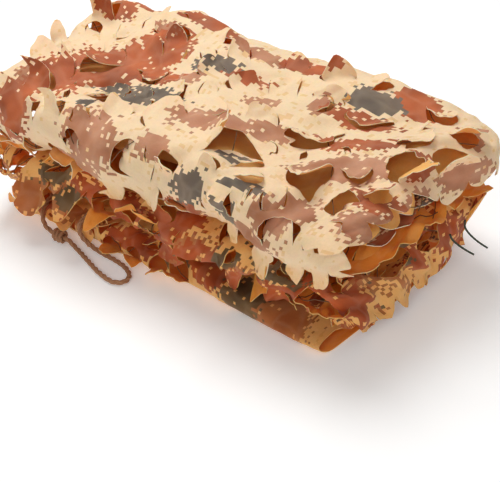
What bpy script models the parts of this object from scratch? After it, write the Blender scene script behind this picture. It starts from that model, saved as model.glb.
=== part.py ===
"""A folded camouflage net: one leaf-cut cloth laid back and forth, its edge rope and its tie threads.

Blender 4.5 script. Metres, +Z up. The origin is the middle of the footprint, on the surface the net rests on.
+X runs along the long front edge and -Y is the front. The sizes below are in millimetres and degrees.
"""

import math
import random
from collections import namedtuple

import bmesh
import bpy
from mathutils import Vector

MM = 0.001
COLLECTION_NAME = "camouflage_net_folded"

# ---------------------------------------------------------------- the cloth
CLOTH_THICKNESS = 2.4
CLOTH_HALF_WIDTH = 304      # half the cut width, which lies along X
CLOTH_COLUMNS = 28          # steps along X
END_START = 0.74            # share of the half width that lies straight; the rest turns down at the ends
END_DEPTH = 46              # how far in X an end takes to turn down
CORNER_DRAW = 0.24          # how much the front and back draw in where an end turns down

# The section of the folded cloth, from the edge on the surface to the edge inside the upper pad.
# Each row is one lay of cloth and the fold that follows it: its height, where it starts and ends in Y, its
# steps, the steps round its fold, how far it reaches to the left and right, the height its ends turn towards,
# how far the left and right ends turn, and how far the leaves cut in it and in its fold stand off.
LAY_FIELDS = (
    "name height start stop steps fold_steps left right end_height turn_left turn_right"
    " leaves fold_leaves"
)
Lay = namedtuple("Lay", LAY_FIELDS)
LAYS = [
    Lay("bottom", 1.2, 126, -108, 6, 4, 240, 252, 1.2, 0, 0, 0, 1),
    Lay("bottom_over", 31, -108, 110, 5, 2, 240, 240, 23, 34, 24, 0, 0),
    Lay("lower_under", 53, 110, -107, 5, 5, 248, 238, 36, 40, 44, 0, 1),
    Lay("lower_top", 94, -107, 108, 6, 2, 262, 268, 30, 70, 86, 0.3, 0),
    Lay("upper_under", 107, 108, -95, 5, 7, 256, 262, 111, 60, 40, 0, 1),
    Lay("upper_top", 184, -95, 110, 9, 4, 266, 275, 135, 104, 74, 1, 1),
    Lay("upper_inner_b", 158, 110, -76, 3, 2, 226, 238, 126, 50, 50, 0, 0),
    Lay("upper_inner_a", 133, -76, 112, 4, 0, 222, 240, 120, 40, 40, 0, 0),
]

# How the whole bundle has settled.
TOP_HEIGHT = 184
RIGHT_DROP = 0.11           # how much lower the right end is than the middle, as a share of its height
RIGHT_DROP_FROM = 30        # where that drop starts in X
RIGHT_DROP_TO = 270
RIGHT_SLANT = 0.21          # how far the right end slants: inwards at the front, outwards at the back
SLANT_FROM = 20             # at the back it starts to slant outwards at this height
SLANT_TO = 110
LEAN_X = 5                  # how far the top has slid towards +X
LEAN_Y = -5                 # how far the top has slid towards the front
LOOSE_FROM = 45             # the cloth lies flat on the surface and is fully uneven from this height up
FLANGE_REACH = 6            # how far the bottom fold sticks out at the front right corner
FLANGE_PRESS = 0.45         # how much that fold is pressed flat
FLANGE_X = (20, 200)        # where this starts and is complete, towards the right
FLANGE_Y = (20, 110)        # and towards the front
SHIFT_X = -13.3             # brings the middle of the footprint, leaves included, to the origin
SHIFT_Y = 15.5

# Broad waves in the lie of the cloth: which way it moves, how far, the length of the wave in X, Y and Z,
# its phase.
Wave = namedtuple("Wave", "axis amount length_x length_y length_z phase")
WAVES = [
    Wave(2, 3.6, 230, 310, 900, 0.4),
    Wave(2, 2.4, 128, -190, 700, 2.1),
    Wave(1, 2.8, 260, 900, 150, 1.2),
    Wave(1, 2.2, 118, 700, -210, 0.2),
    Wave(0, 3.0, 800, 150, 170, 2.6),
    Wave(0, 2.2, 600, -92, 120, 0.9),
]

# Soft troughs pressed into the upper pad: the two ends of each in X and Y, its width and its depth.
# A negative depth is a ridge.
Crease = namedtuple("Crease", "x0 y0 x1 y1 width depth")
CREASES = [
    Crease(-165, -110, -45, 20, 32, 7),
    Crease(20, -126, 66, -12, 28, 6),
    Crease(-66, 44, 100, 78, 26, -5),
    Crease(120, -66, 186, 66, 32, 6),
    Crease(-236, -44, -165, 88, 28, 5),
    Crease(-206, 112, -124, 116, 48, -13),
]
CREASE_FLOOR = 96           # creases fade out downwards to this height

# ---------------------------------------------------------------- the leaves
# Each is cut on three sides, stands off the cloth and leaves a hole.
HOLE_LENGTH = 20            # the least length of a hole
HOLE_SPACING = 12           # the least cloth left between two rows of holes
HOLE_SPREAD = 4.5           # how much wider than an even column a hole is at its leaf's root, at each side
HOLE_DRAW = 4.0             # how much narrower its far end is, at each side
CLOSED_SHARE = 0.08         # the share of leaves that lie closed
TURNED_SHARE = 0.3          # the share of leaves whose root is at the hole's other end
LEAF_LIFT = (10, 44)        # the angle between a leaf and the cloth
LEAF_CURL = (-44, 26)       # how much further its outer part is turned
LEAF_STRETCH = (1.0, 1.35)  # a leaf's length as a share of its hole's
LEAF_SHOULDER = 0.58        # where along its length a leaf bends and starts to narrow
LEAF_HALF = 0.4             # half its width there, as a share of its root's
LEAF_END_HALF = 0.17        # half the width of its blunt end
LEAF_SWAY = 0.12            # how far it turns sideways, as a share of its root's width
EDGE_LEAF_LENGTH = 20       # a leaf that the cut edge of the cloth ends in
EDGE_LEAF_WIDEST = 46
EDGE_LEAF_STRETCH = (0.6, 1.3)
EDGE_LEAF_LIFT = (-18, 42)
FLOOR_CLEARANCE = 3         # no leaf reaches lower
SEED = 11

# ---------------------------------------------------------------- the rope and the threads
ROPE_DIAMETER = 6
ROPE_VALLEY = 2.35          # radius of the rope between its three strands
ROPE_STEP = 3               # spacing of the points read from the smooth route
ROUTE_STEPS = 12            # steps between two of a route's own points
ROPE_LAY = 26               # length in which a strand goes once round the rope
# The edge rope's route: out of the front crease at the left, down through its knot to the surface, out and
# round its loop, back along the front and into the crease again.
ROPE_ROUTE = [
    (-187.5, -80, 36.1),
    (-187, -91, 35.1),
    (-185.5, -103, 33),
    (-182.5, -114.5, 26.5),
    (-174.5, -121.5, 16),
    (-162.5, -122.5, 10.6),
    (-149.5, -122.5, 10),
    (-136.5, -122.5, 9.4),
    (-123.5, -124, 4.5),
    (-109.5, -128, 3.4),
    (-89.5, -135, 3.4),
    (-67.5, -142, 3.4),
    (-45.5, -145, 3.4),
    (-33.5, -138, 3.4),
    (-35.5, -127, 3.4),
    (-49.5, -119, 3.4),
    (-69.5, -115.5, 3.4),
    (-89.5, -114.5, 3.6),
    (-107.5, -115, 9),
    (-116.5, -117.5, 21),
    (-119.5, -114, 32.5),
    (-119, -103, 37.4),
    (-118, -91.5, 38.9),
    (-117.5, -80, 37.9),
]
ROPE_SPAN = (-218, -18)     # no leaf is cut in the bottom fold here, where the rope lies against it
KNOT_PLACE = (-149.5, -122.5, 10)
KNOT_TURNS = 3
KNOT_GAP = 0.6
KNOT_THIN = 0.9             # thickness of the knot's ring between two turns, in rope radii
KNOT_BULGE = 0.9            # how much thicker it is on a turn
THREAD_DIAMETER = 2.2
THREAD_STEP = 5.5           # spacing of the points along a thread
SEAT_GAP = 0.6              # between a thread and the cloth
SEAT_ACROSS = (0.94, 0.98)  # a thread is seated here, as a share of the cloth's half width
# The thread's way from its seat: along the cloth towards its edge, and off the cloth.
THREAD_WAY = [
    (-5, 0),
    (3, 0),
    (10, 4),
    (16, 11),
    (20, 18),
]
# Each thread is held at the right end: the lay that it lies on, how far along it, its turn in degrees and its
# length as a share of the way above.
Thread = namedtuple("Thread", "name lay step turn share")
THREADS = [
    Thread("tie_thread_1", "lower_top", 4, 24, 1.1),
    Thread("tie_thread_2", "lower_top", 5, 20, 1.35),
]

Row = namedtuple("Row", "y z travel left right end_height turn_left turn_right leaves")


# ---------------------------------------------------------------- scene helpers
def clear_scene():
    for item in list(bpy.data.objects):
        bpy.data.objects.remove(item, do_unlink=True)


def make_collection(name):
    collection = bpy.data.collections.new(name)
    bpy.context.scene.collection.children.link(collection)
    return collection


def make_material(name, colour, roughness):
    material = bpy.data.materials.new(name)
    material.use_nodes = True
    shader = material.node_tree.nodes["Principled BSDF"]
    shader.inputs["Base Color"].default_value = (*colour, 1.0)
    shader.inputs["Roughness"].default_value = roughness
    shader.inputs["Metallic"].default_value = 0.0
    return material


def mix(a, b, share):
    return a + (b - a) * share


def smooth_step(value, start, stop):
    share = min(1.0, max(0.0, (value - start) / (stop - start)))
    return share * share * (3.0 - 2.0 * share)


# ---------------------------------------------------------------- the section
def row_between(lay, after, y, z, share, travel, leaves):
    """A row of the cloth whose ends are a given share of the way from one lay's to the next's."""
    fields = ("left", "right", "end_height", "turn_left", "turn_right")
    ends = [mix(getattr(lay, field), getattr(after, field), share) for field in fields]
    return Row(y, z, travel, *ends, leaves)


def section_rows():
    """The rows of the cloth in order, with the distance travelled along the section."""
    rows = []
    travel = 0.0
    for index, lay in enumerate(LAYS):
        after = LAYS[min(index + 1, len(LAYS) - 1)]
        length = abs(lay.stop - lay.start)
        for step in range(lay.steps + 1):
            share = step / lay.steps
            y = mix(lay.start, lay.stop, share)
            along = travel + length * share
            rows.append(row_between(lay, after, y, lay.height, 0.0, along, lay.leaves))
        travel += length
        radius = 0.5 * abs(after.height - lay.height)
        outward = math.copysign(radius, lay.stop - lay.start)
        for step in range(1, lay.fold_steps):
            angle = math.pi * step / lay.fold_steps
            share = 0.5 - 0.5 * math.cos(angle)
            y = lay.stop + outward * math.sin(angle)
            z = mix(lay.height, after.height, share)
            along = travel + radius * angle
            rows.append(row_between(lay, after, y, z, share, along, lay.fold_leaves))
        travel += math.pi * radius
    return rows


# ---------------------------------------------------------------- how the bundle lies
def crease_depth(x, y):
    """How far the creases lower the top at a place."""
    total = 0.0
    for crease in CREASES:
        run = Vector((crease.x1 - crease.x0, crease.y1 - crease.y0))
        away = Vector((x - crease.x0, y - crease.y0))
        share = min(1.0, max(0.0, away.dot(run) / run.length_squared))
        distance = (away - run * share).length / crease.width
        total += crease.depth * math.exp(-distance * distance)
    return total


def settle(x, y, z):
    """Move a place in the neatly folded bundle to where it lies once the bundle has settled."""
    floor = LAYS[0].height
    height = z - floor
    loose = smooth_step(height, 0.0, LOOSE_FROM)
    height *= 1.0 - RIGHT_DROP * smooth_step(x, RIGHT_DROP_FROM, RIGHT_DROP_TO)
    height -= crease_depth(x, y) * smooth_step(z, CREASE_FLOOR, TOP_HEIGHT)
    flange = smooth_step(x, *FLANGE_X) * smooth_step(-y, *FLANGE_Y)
    flange *= 1.0 - smooth_step(z, LAYS[1].height, LAYS[2].height)
    height *= 1.0 - FLANGE_PRESS * flange
    slant = RIGHT_SLANT * smooth_step(x, RIGHT_DROP_FROM, RIGHT_DROP_TO)
    if y > 0.0:
        slant *= smooth_step(z, SLANT_FROM, SLANT_TO)
    place = Vector((x + y * slant, y - FLANGE_REACH * flange, floor + height))
    place += Vector((SHIFT_X, SHIFT_Y, 0.0)) + Vector((LEAN_X, LEAN_Y, 0.0)) * (z / TOP_HEIGHT)
    for wave in WAVES:
        turn = x / wave.length_x + y / wave.length_y + z / wave.length_z
        place[wave.axis] += loose * wave.amount * math.sin(2.0 * math.pi * turn + wave.phase)
    return place


def cloth_point(row, across):
    """A point of the cloth's middle surface, across running from -1 at the left edge to 1 at the right."""
    is_left = across < 0.0
    turn = math.radians(row.turn_left if is_left else row.turn_right)
    share = abs(across)
    straight = (row.left if is_left else row.right) - END_DEPTH
    x = straight * min(share / END_START, 1.0)
    beyond = max(0.0, (share - END_START) / (1.0 - END_START))
    if turn > 0.0:
        x += END_DEPTH * math.sin(beyond * turn) / math.sin(min(turn, 0.5 * math.pi))
    else:
        x += END_DEPTH * beyond
    closing = 1.0 - math.cos(beyond * turn)
    z = mix(row.z, row.end_height, closing)
    y = row.y * (1.0 - CORNER_DRAW * closing)
    return settle(-x if is_left else x, y, z)


# ---------------------------------------------------------------- holes and leaves
def leaf_bands(rows):
    """The first and last row of each band of holes."""
    bands = []
    first = 1
    while first < len(rows) - 2:
        last = first + 1
        while last < len(rows) - 2 and rows[last].travel - rows[first].travel < HOLE_LENGTH:
            last += 1
        if not all(row.leaves for row in rows[first : last + 1]):
            first += 1
            continue
        bands.append((first, last))
        first = last + 1
        while first < len(rows) - 2 and rows[first].travel - rows[last].travel < HOLE_SPACING:
            first += 1
    return bands


def across_of(bands, i, j):
    """How far across column j stands in row i: holes are wide, the cloth between them is narrow."""
    regular = 2.0 * j / CLOTH_COLUMNS - 1.0
    if j in (0, CLOTH_COLUMNS):
        return regular
    for number, (first, last) in enumerate(bands):
        if first <= i <= last:
            spread = HOLE_SPREAD - HOLE_DRAW * (last - i) / (last - first)
            away = 1.0 if (j + number) % 2 else -1.0
            return regular + away * spread / CLOTH_HALF_WIDTH
    return regular


def add_leaf(mesh, root, along, normal, lift, curl, sway):
    """Grow a leaf from its root edge. It stands off the cloth, along the normal."""
    middle = 0.5 * (root[0].co + root[1].co)
    side = root[1].co - root[0].co
    ahead = along.normalized()
    bend = lift + curl
    shoulder = (ahead * math.cos(lift) + normal * math.sin(lift)) * (LEAF_SHOULDER * along.length)
    tip = (ahead * math.cos(bend) + normal * math.sin(bend)) * ((1.0 - LEAF_SHOULDER) * along.length)
    bent = middle + shoulder + side * sway
    end = bent + tip + side * sway
    places = [bent + side * half for half in (-LEAF_HALF, LEAF_HALF)]
    places += [end + side * half for half in (LEAF_END_HALF, -LEAF_END_HALF)]
    for place in places:
        place.z = max(place.z, FLOOR_CLEARANCE * MM)
    left, right, end_right, end_left = (mesh.verts.new(place) for place in places)
    mesh.faces.new((root[0], root[1], right, left))
    mesh.faces.new((left, right, end_right, end_left))


def random_leaf(mesh, root, along, normal, rng, stretch, lift, freedom=1.0):
    """Grow a leaf of random length and bend. The freedom is the share of its bend that it has room for."""
    along = along * rng.uniform(*stretch)
    angles = [math.radians(rng.uniform(*span)) * freedom for span in (lift, LEAF_CURL)]
    add_leaf(mesh, root, along, normal, *angles, rng.uniform(-LEAF_SWAY, LEAF_SWAY))


def cut_leaves(mesh, grid, rows, bands, rng):
    """Open the holes and grow a leaf from one end of each."""
    for number, (first, last) in enumerate(bands):
        freedom = rows[first].leaves
        for j in range(1 + number % 2, CLOTH_COLUMNS - 1, 2):
            x = grid[first, j].co.x / MM
            if rng.random() < CLOSED_SHARE or (number == 0 and ROPE_SPAN[0] < x < ROPE_SPAN[1]):
                continue
            low = (grid[first, j], grid[first, j + 1])
            high = (grid[last, j], grid[last, j + 1])
            normal = (high[1].co - low[0].co).cross(high[0].co - low[1].co).normalized()
            inside = {grid[i, k] for i in range(first, last + 1) for k in (j, j + 1)}
            around = {face for vertex in low + high for face in vertex.link_faces}
            faces = [face for face in around if set(face.verts) <= inside]
            bmesh.ops.delete(mesh, geom=faces, context="FACES_ONLY")
            root, far = (low, high) if rng.random() < TURNED_SHARE else (high, low)
            along = 0.5 * (far[0].co + far[1].co - root[0].co - root[1].co)
            random_leaf(mesh, root, along, normal, rng, LEAF_STRETCH, LEAF_LIFT, freedom)


def add_edge_leaves(mesh, grid, row_count, rng):
    """The cut edges at both ends run out in leaves."""
    for edge, inner in ((0, 1), (CLOTH_COLUMNS, CLOTH_COLUMNS - 1)):
        for i in range(LAYS[0].steps + 2, row_count - 1, 2):
            root = (grid[i, edge], grid[i + 1, edge])
            if (root[1].co - root[0].co).length > EDGE_LEAF_WIDEST * MM:
                continue
            away = 0.5 * (root[0].co + root[1].co - grid[i, inner].co - grid[i + 1, inner].co)
            away = away.normalized() * (EDGE_LEAF_LENGTH * MM)
            along_section = root[1].co - root[0].co
            normal = away.cross(along_section).normalized()
            if edge == 0:
                normal.negate()
            random_leaf(mesh, root, away, normal, rng, EDGE_LEAF_STRETCH, EDGE_LEAF_LIFT)


def build_cloth(collection, material):
    rng = random.Random(SEED)
    rows = section_rows()
    bands = leaf_bands(rows)
    mesh = bmesh.new()
    bmesh.ops.create_grid(mesh, x_segments=len(rows) - 1, y_segments=CLOTH_COLUMNS, size=1.0)
    grid = {}
    for vertex in mesh.verts:
        i = round((vertex.co.x + 1.0) * 0.5 * (len(rows) - 1))
        j = round((vertex.co.y + 1.0) * 0.5 * CLOTH_COLUMNS)
        grid[i, j] = vertex
    for (i, j), vertex in grid.items():
        vertex.co = cloth_point(rows[i], across_of(bands, i, j)) * MM
    cut_leaves(mesh, grid, rows, bands, rng)
    add_edge_leaves(mesh, grid, len(rows), rng)
    bmesh.ops.recalc_face_normals(mesh, faces=mesh.faces)
    data = bpy.data.meshes.new("net_cloth")
    mesh.to_mesh(data)
    mesh.free()
    data.materials.append(material)
    cloth = bpy.data.objects.new("net_cloth", data)
    collection.objects.link(cloth)
    thicken = cloth.modifiers.new("thickness", "SOLIDIFY")
    thicken.thickness = CLOTH_THICKNESS * MM
    thicken.offset = 0.0
    return rows


# ---------------------------------------------------------------- rope and threads
def smooth_route(points, spacing):
    """Points at an even spacing along a smooth curve through the route's own points."""
    ends = [points[0] * 2.0 - points[1], *points, points[-1] * 2.0 - points[-2]]
    fine = []
    for before, start, stop, after in zip(ends, ends[1:], ends[2:], ends[3:]):
        for step in range(ROUTE_STEPS):
            t = step / ROUTE_STEPS
            fine.append(
                0.5
                * (
                    2.0 * start
                    + (stop - before) * t
                    + (2.0 * before - 5.0 * start + 4.0 * stop - after) * t * t
                    + (3.0 * start - before - 3.0 * stop + after) * t * t * t
                )
            )
    fine.append(points[-1])
    lengths = [0.0]
    for start, stop in zip(fine, fine[1:]):
        lengths.append(lengths[-1] + (stop - start).length)
    count = max(2, round(lengths[-1] / spacing))
    even = []
    place = 0
    for step in range(count + 1):
        target = lengths[-1] * step / count
        while place < len(fine) - 2 and lengths[place + 1] < target:
            place += 1
        share = (target - lengths[place]) / (lengths[place + 1] - lengths[place])
        even.append(fine[place].lerp(fine[place + 1], min(share, 1.0)))
    return even


def build_cord(collection, name, points, diameter, material):
    """A tube on an even run of points."""
    curve = bpy.data.curves.new(name, "CURVE")
    curve.dimensions = "3D"
    curve.bevel_depth = 0.5 * diameter * MM
    curve.bevel_resolution = 2
    curve.use_fill_caps = True
    spline = curve.splines.new("POLY")
    spline.points.add(len(points) - 1)
    for target, point in zip(spline.points, points):
        target.co = (*(point * MM), 1.0)
    spline.use_smooth = True
    curve.materials.append(material)
    cord = bpy.data.objects.new(name, curve)
    collection.objects.link(cord)
    return cord


def strand_section(guides):
    """The rope's cross-section: three strands, as a closed outline that is drawn along the rope."""
    outline = bpy.data.curves.new("rope_section", "CURVE")
    outline.dimensions = "2D"
    outline.fill_mode = "NONE"
    spline = outline.splines.new("POLY")
    spline.points.add(5)
    spline.use_cyclic_u = True
    for index, point in enumerate(spline.points):
        radius = (ROPE_VALLEY if index % 2 else 0.5 * ROPE_DIAMETER) * MM
        angle = -math.pi * index / 3.0
        point.co = (radius * math.cos(angle), radius * math.sin(angle), 0.0, 1.0)
    section = bpy.data.objects.new("rope_section", outline)
    section.hide_render = True
    section.display_type = "WIRE"
    guides.objects.link(section)
    return section


def build_rope(collection, guides, material):
    points = smooth_route([Vector(point) for point in ROPE_ROUTE], ROPE_STEP)
    rope = build_cord(collection, "edge_rope", points, ROPE_DIAMETER, material)
    rope.data.bevel_mode = "OBJECT"
    rope.data.bevel_object = strand_section(guides)
    for index, point in enumerate(rope.data.splines[0].points):
        point.tilt = 2.0 * math.pi * index * ROPE_STEP / ROPE_LAY


def build_knot(collection, material):
    """The turns of the rope's knot, as one ribbed ring round the rope."""
    inner = 0.5 * ROPE_DIAMETER + KNOT_GAP
    turn_radius = 0.5 * ROPE_DIAMETER
    half = KNOT_TURNS * turn_radius
    profile = [(-half, inner)]
    steps = 4 * KNOT_TURNS
    for step in range(steps + 1):
        share = step / steps
        bulge = abs(math.sin(math.pi * share * KNOT_TURNS))
        radius = inner + turn_radius * (KNOT_THIN + KNOT_BULGE * bulge)
        profile.append((mix(-half, half, share), radius))
    profile.append((half, inner))
    mesh = bmesh.new()
    corners = [mesh.verts.new((along * MM, 0.0, radius * MM)) for along, radius in profile]
    for start, stop in zip(corners, corners[1:] + corners[:1]):
        mesh.edges.new((start, stop))
    data = bpy.data.meshes.new("rope_knot")
    mesh.to_mesh(data)
    mesh.free()
    data.materials.append(material)
    knot = bpy.data.objects.new("rope_knot", data)
    collection.objects.link(knot)
    knot.location = Vector(KNOT_PLACE) * MM
    turned = knot.modifiers.new("turned", "SCREW")
    turned.axis = "X"
    turned.steps = 14
    turned.render_steps = 14
    turned.use_merge_vertices = True
    turned.merge_threshold = 0.00001
    turned.use_normal_calculate = True


def build_threads(collection, rows, material):
    """Loose ends of thread that lie on the cloth near its right edge and stand off it."""
    for thread in THREADS:
        height = next(lay.height for lay in LAYS if lay.name == thread.lay)
        first = next(i for i, row in enumerate(rows) if row.z == height)
        low, high = rows[first + thread.step], rows[first + thread.step + 1]
        inner, outer = (
            0.5 * (cloth_point(low, share) + cloth_point(high, share)) for share in SEAT_ACROSS
        )
        across = (outer - inner).normalized()
        along = (cloth_point(high, SEAT_ACROSS[0]) - cloth_point(low, SEAT_ACROSS[0])).normalized()
        normal = across.cross(along).normalized()
        turn = math.radians(thread.turn)
        onwards = across * math.cos(turn) + along * math.sin(turn)
        seat = inner + normal * (0.5 * (CLOTH_THICKNESS + THREAD_DIAMETER) + SEAT_GAP)
        way = [seat + (onwards * on + normal * off) * thread.share for on, off in THREAD_WAY]
        points = smooth_route(way, THREAD_STEP)
        build_cord(collection, thread.name, points, THREAD_DIAMETER, material)


def main():
    clear_scene()
    collection = make_collection(COLLECTION_NAME)
    guides = make_collection("guides")
    printed_cloth = make_material("printed_cloth", (0.72, 0.50, 0.31), 0.72)
    brown_rope = make_material("brown_rope", (0.28, 0.13, 0.06), 0.85)
    dark_thread = make_material("dark_thread", (0.07, 0.08, 0.06), 0.8)
    rows = build_cloth(collection, printed_cloth)
    build_rope(collection, guides, brown_rope)
    build_knot(collection, brown_rope)
    build_threads(collection, rows, dark_thread)


main()
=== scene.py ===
import math
import random

import bpy
import numpy as np
from mathutils import Matrix, Vector, geometry


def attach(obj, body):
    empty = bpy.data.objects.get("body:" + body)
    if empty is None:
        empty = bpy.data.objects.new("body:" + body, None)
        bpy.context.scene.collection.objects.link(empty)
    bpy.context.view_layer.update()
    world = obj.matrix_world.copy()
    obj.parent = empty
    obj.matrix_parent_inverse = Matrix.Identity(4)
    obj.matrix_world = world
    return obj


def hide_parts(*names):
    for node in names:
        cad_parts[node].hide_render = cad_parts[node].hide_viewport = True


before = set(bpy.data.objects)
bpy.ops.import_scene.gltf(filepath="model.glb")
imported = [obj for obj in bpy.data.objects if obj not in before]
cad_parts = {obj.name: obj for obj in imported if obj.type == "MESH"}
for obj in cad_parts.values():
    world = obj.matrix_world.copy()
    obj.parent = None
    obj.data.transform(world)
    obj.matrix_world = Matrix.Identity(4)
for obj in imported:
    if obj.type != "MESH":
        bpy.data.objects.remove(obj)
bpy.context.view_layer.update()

mm = 0.001


def linearColour(red, green, blue):
    # a colour as read on a screen, 0 to 255, turned into the linear values the shader takes
    parts = [channel / 255.0 for channel in (red, green, blue)]
    return tuple(p / 12.92 if p <= 0.04045 else ((p + 0.055) / 1.055) ** 2.4 for p in parts) + (1.0,)


def darker(colour, share):
    return tuple(share * part for part in colour[:3]) + (1.0,)


def smoothStep(value, start, stop):
    share = np.clip((value - start) / (stop - start), 0.0, 1.0)
    return share * share * (3.0 - 2.0 * share)


def addObject(name, data):
    made = bpy.data.objects.new(name, data)
    bpy.context.scene.collection.objects.link(made)
    return made


def addPiece(name, data, slotName, *nodeNames):
    piece = addObject(name, data)
    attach(piece, "root")
    if nodeNames:
        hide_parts(*nodeNames)
    return piece


def asMesh(name, curve):
    # the curve's tube as a plain mesh
    made = addObject(name, curve)
    bpy.context.view_layer.update()
    data = bpy.data.meshes.new_from_object(made.evaluated_get(bpy.context.evaluated_depsgraph_get()))
    bpy.data.objects.remove(made)
    data.name = name
    return data


def newTube(name, radius, resolution):
    curve = bpy.data.curves.new(name, "CURVE")
    curve.dimensions = "3D"
    curve.bevel_depth = radius
    curve.bevel_resolution = resolution
    curve.use_fill_caps = True
    return curve


def addLine(curve, line):
    # a line of the tube, through points in metres
    spline = curve.splines.new("POLY")
    spline.points.add(len(line) - 1)
    spline.points.foreach_set("co", np.c_[line, np.ones(len(line))].astype(np.float32).ravel())
    spline.use_smooth = True
    return spline


# the camera stands where the photo was taken from
cameraView = {
    "target": (-0.0133, 0.0155, 0.0),
    "azimuth": 40.71,
    "elevation": 37.21,
    "roll": 5.8,
    "distance": 1.085,
    "lens": 64.8,
    "shift": (0.056, -0.0464),
    "nearest": 0.05,
}


def placeCamera(view):
    azimuth, elevation, roll = (math.radians(view[key]) for key in ("azimuth", "elevation", "roll"))
    flat = math.cos(elevation)
    back = Vector((math.sin(azimuth) * flat, -math.cos(azimuth) * flat, math.sin(elevation)))
    right = Vector((math.cos(azimuth), math.sin(azimuth), 0.0))
    up = back.cross(right)
    sideways = right * math.cos(roll) - up * math.sin(roll)
    upwards = right * math.sin(roll) + up * math.cos(roll)
    data = bpy.data.cameras.new("photoCamera")
    data.lens = view["lens"]
    data.shift_x, data.shift_y = view["shift"]
    data.clip_start = view["nearest"]
    camera = addObject("photoCamera", data)
    turn = Matrix((sideways, upwards, back)).transposed().to_4x4()
    camera.matrix_world = Matrix.Translation(Vector(view["target"]) + back * view["distance"]) @ turn
    bpy.context.scene.camera = camera


placeCamera(cameraView)
print("camera placed")


class NodeBench:
    # adds nodes to one node tree and links them by socket name

    def __init__(self, tree):
        self.tree = tree

    def add(self, kind, settings=None, **inputs):
        node = self.tree.nodes.new(kind)
        for key, value in (settings or {}).items():
            setattr(node, key, value)
        for key, value in inputs.items():
            self.feed(node.inputs[key.replace("_", " ")], value)
        return node

    def feed(self, socket, value):
        if isinstance(value, bpy.types.NodeSocket):
            self.tree.links.new(value, socket)
        else:
            socket.default_value = value

    def maths(self, operation, *values):
        node = self.tree.nodes.new("ShaderNodeMath")
        node.operation = operation
        for socket, value in zip(node.inputs, values):
            self.feed(socket, value)
        return node.outputs[0]

    def vector(self, operation, *values, output=0):
        node = self.tree.nodes.new("ShaderNodeVectorMath")
        node.operation = operation
        for socket, value in zip(node.inputs, values):
            self.feed(socket, value)
        return node.outputs[output]

    def mixColour(self, share, first, second, blend="MIX"):
        node = self.tree.nodes.new("ShaderNodeMix")
        node.data_type = "RGBA"
        node.blend_type = blend
        self.feed(node.inputs[0], share)
        self.feed(node.inputs[6], first)
        self.feed(node.inputs[7], second)
        return node.outputs[2]

    def group(self, tree, **inputs):
        return self.add("ShaderNodeGroup", {"node_tree": tree}, **inputs)


def newGroup(name, inputs, outputs):
    # inputs are (name, kind, value), outputs are (name, kind)
    tree = bpy.data.node_groups.new(name, "ShaderNodeTree")
    for socketName, kind, value in inputs:
        socket = tree.interface.new_socket(socketName, in_out="INPUT", socket_type="NodeSocket" + kind)
        if value is not None:
            socket.default_value = value
    for socketName, kind in outputs:
        tree.interface.new_socket(socketName, in_out="OUTPUT", socket_type="NodeSocket" + kind)
    bench = NodeBench(tree)
    return tree, bench, tree.nodes.new("NodeGroupInput").outputs, tree.nodes.new("NodeGroupOutput").inputs


def newMaterial(name):
    material = bpy.data.materials.new(name)
    material.use_nodes = True
    material.node_tree.nodes.clear()
    bench = NodeBench(material.node_tree)
    shader = bench.add("ShaderNodeBsdfPrincipled")
    output = bench.add("ShaderNodeOutputMaterial")
    bench.tree.links.new(shader.outputs[0], output.inputs[0])
    return material, bench, shader


# noises and heights of the shared groups: the cords' yarns, the cloth's weave and its fine creases
groupLooks = {
    "fuzz": {"Scale": 900.0, "Detail": 2.0},
    "fuzzHeight": 0.35,
    "shadePower": 0.6,
    "slubs": {"Scale": 420.0, "Detail": 3.0},
    "slubHeight": 0.6,
    "warp": {"Scale": 26.0, "Detail": 2.0},
    "wander": 0.03,
    "creaseWidth": 0.16,
    "creaseHeight": 0.22,
    "rolls": {"Scale": 70.0, "Detail": 3.0, "Roughness": 0.6},
}


def buildTwistGroup():
    # yarns that run slantwise round a cord: height for bump and a mask of painted shade between them
    tree, bench, given, out = newGroup(
        "yarnTwist",
        [("Coordinates", "Vector", None), ("Yarns", "Float", 9.0), ("Slant", "Float", 500.0)],
        [("Height", "Float"), ("Shade", "Float")],
    )
    parts = bench.add("ShaderNodeSeparateXYZ", Vector=given["Coordinates"]).outputs
    along = bench.maths("MULTIPLY", parts[0], given["Slant"])
    around = bench.maths("MULTIPLY", parts[1], given["Yarns"])
    turn = bench.maths("MULTIPLY", bench.maths("ADD", along, around), 2.0 * math.pi)
    wave = bench.maths("MULTIPLY_ADD", bench.maths("SINE", turn), 0.5, 0.5)
    fuzz = bench.add("ShaderNodeTexNoise", Vector=given["Coordinates"], **groupLooks["fuzz"])
    height = bench.maths("ADD", wave, bench.maths("MULTIPLY", fuzz.outputs[0], groupLooks["fuzzHeight"]))
    bench.feed(out["Height"], height)
    bench.feed(out["Shade"], bench.maths("POWER", wave, groupLooks["shadePower"]))
    return tree


def buildWeaveGroup():
    # plain weave of fine yarns, laid out in the flat cloth, with small slubs
    tree, bench, given, out = newGroup(
        "plainWeave",
        [("Flat", "Vector", None), ("Yarn", "Float", 0.0007)],
        [("Height", "Float"), ("Cover", "Float")],
    )
    parts = bench.add("ShaderNodeSeparateXYZ", Vector=given["Flat"]).outputs
    waves = []
    for part in parts[:2]:
        turn = bench.maths("MULTIPLY", bench.maths("DIVIDE", part, given["Yarn"]), 2.0 * math.pi)
        waves.append(bench.maths("SINE", turn))
    weave = bench.maths("MULTIPLY_ADD", bench.maths("MULTIPLY", *waves), 0.5, 0.5)
    slub = bench.add("ShaderNodeTexNoise", Vector=given["Flat"], **groupLooks["slubs"])
    bench.feed(out["Height"], bench.maths("MULTIPLY_ADD", slub.outputs[0], groupLooks["slubHeight"], weave))
    bench.feed(out["Cover"], slub.outputs[0])
    return tree


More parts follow.
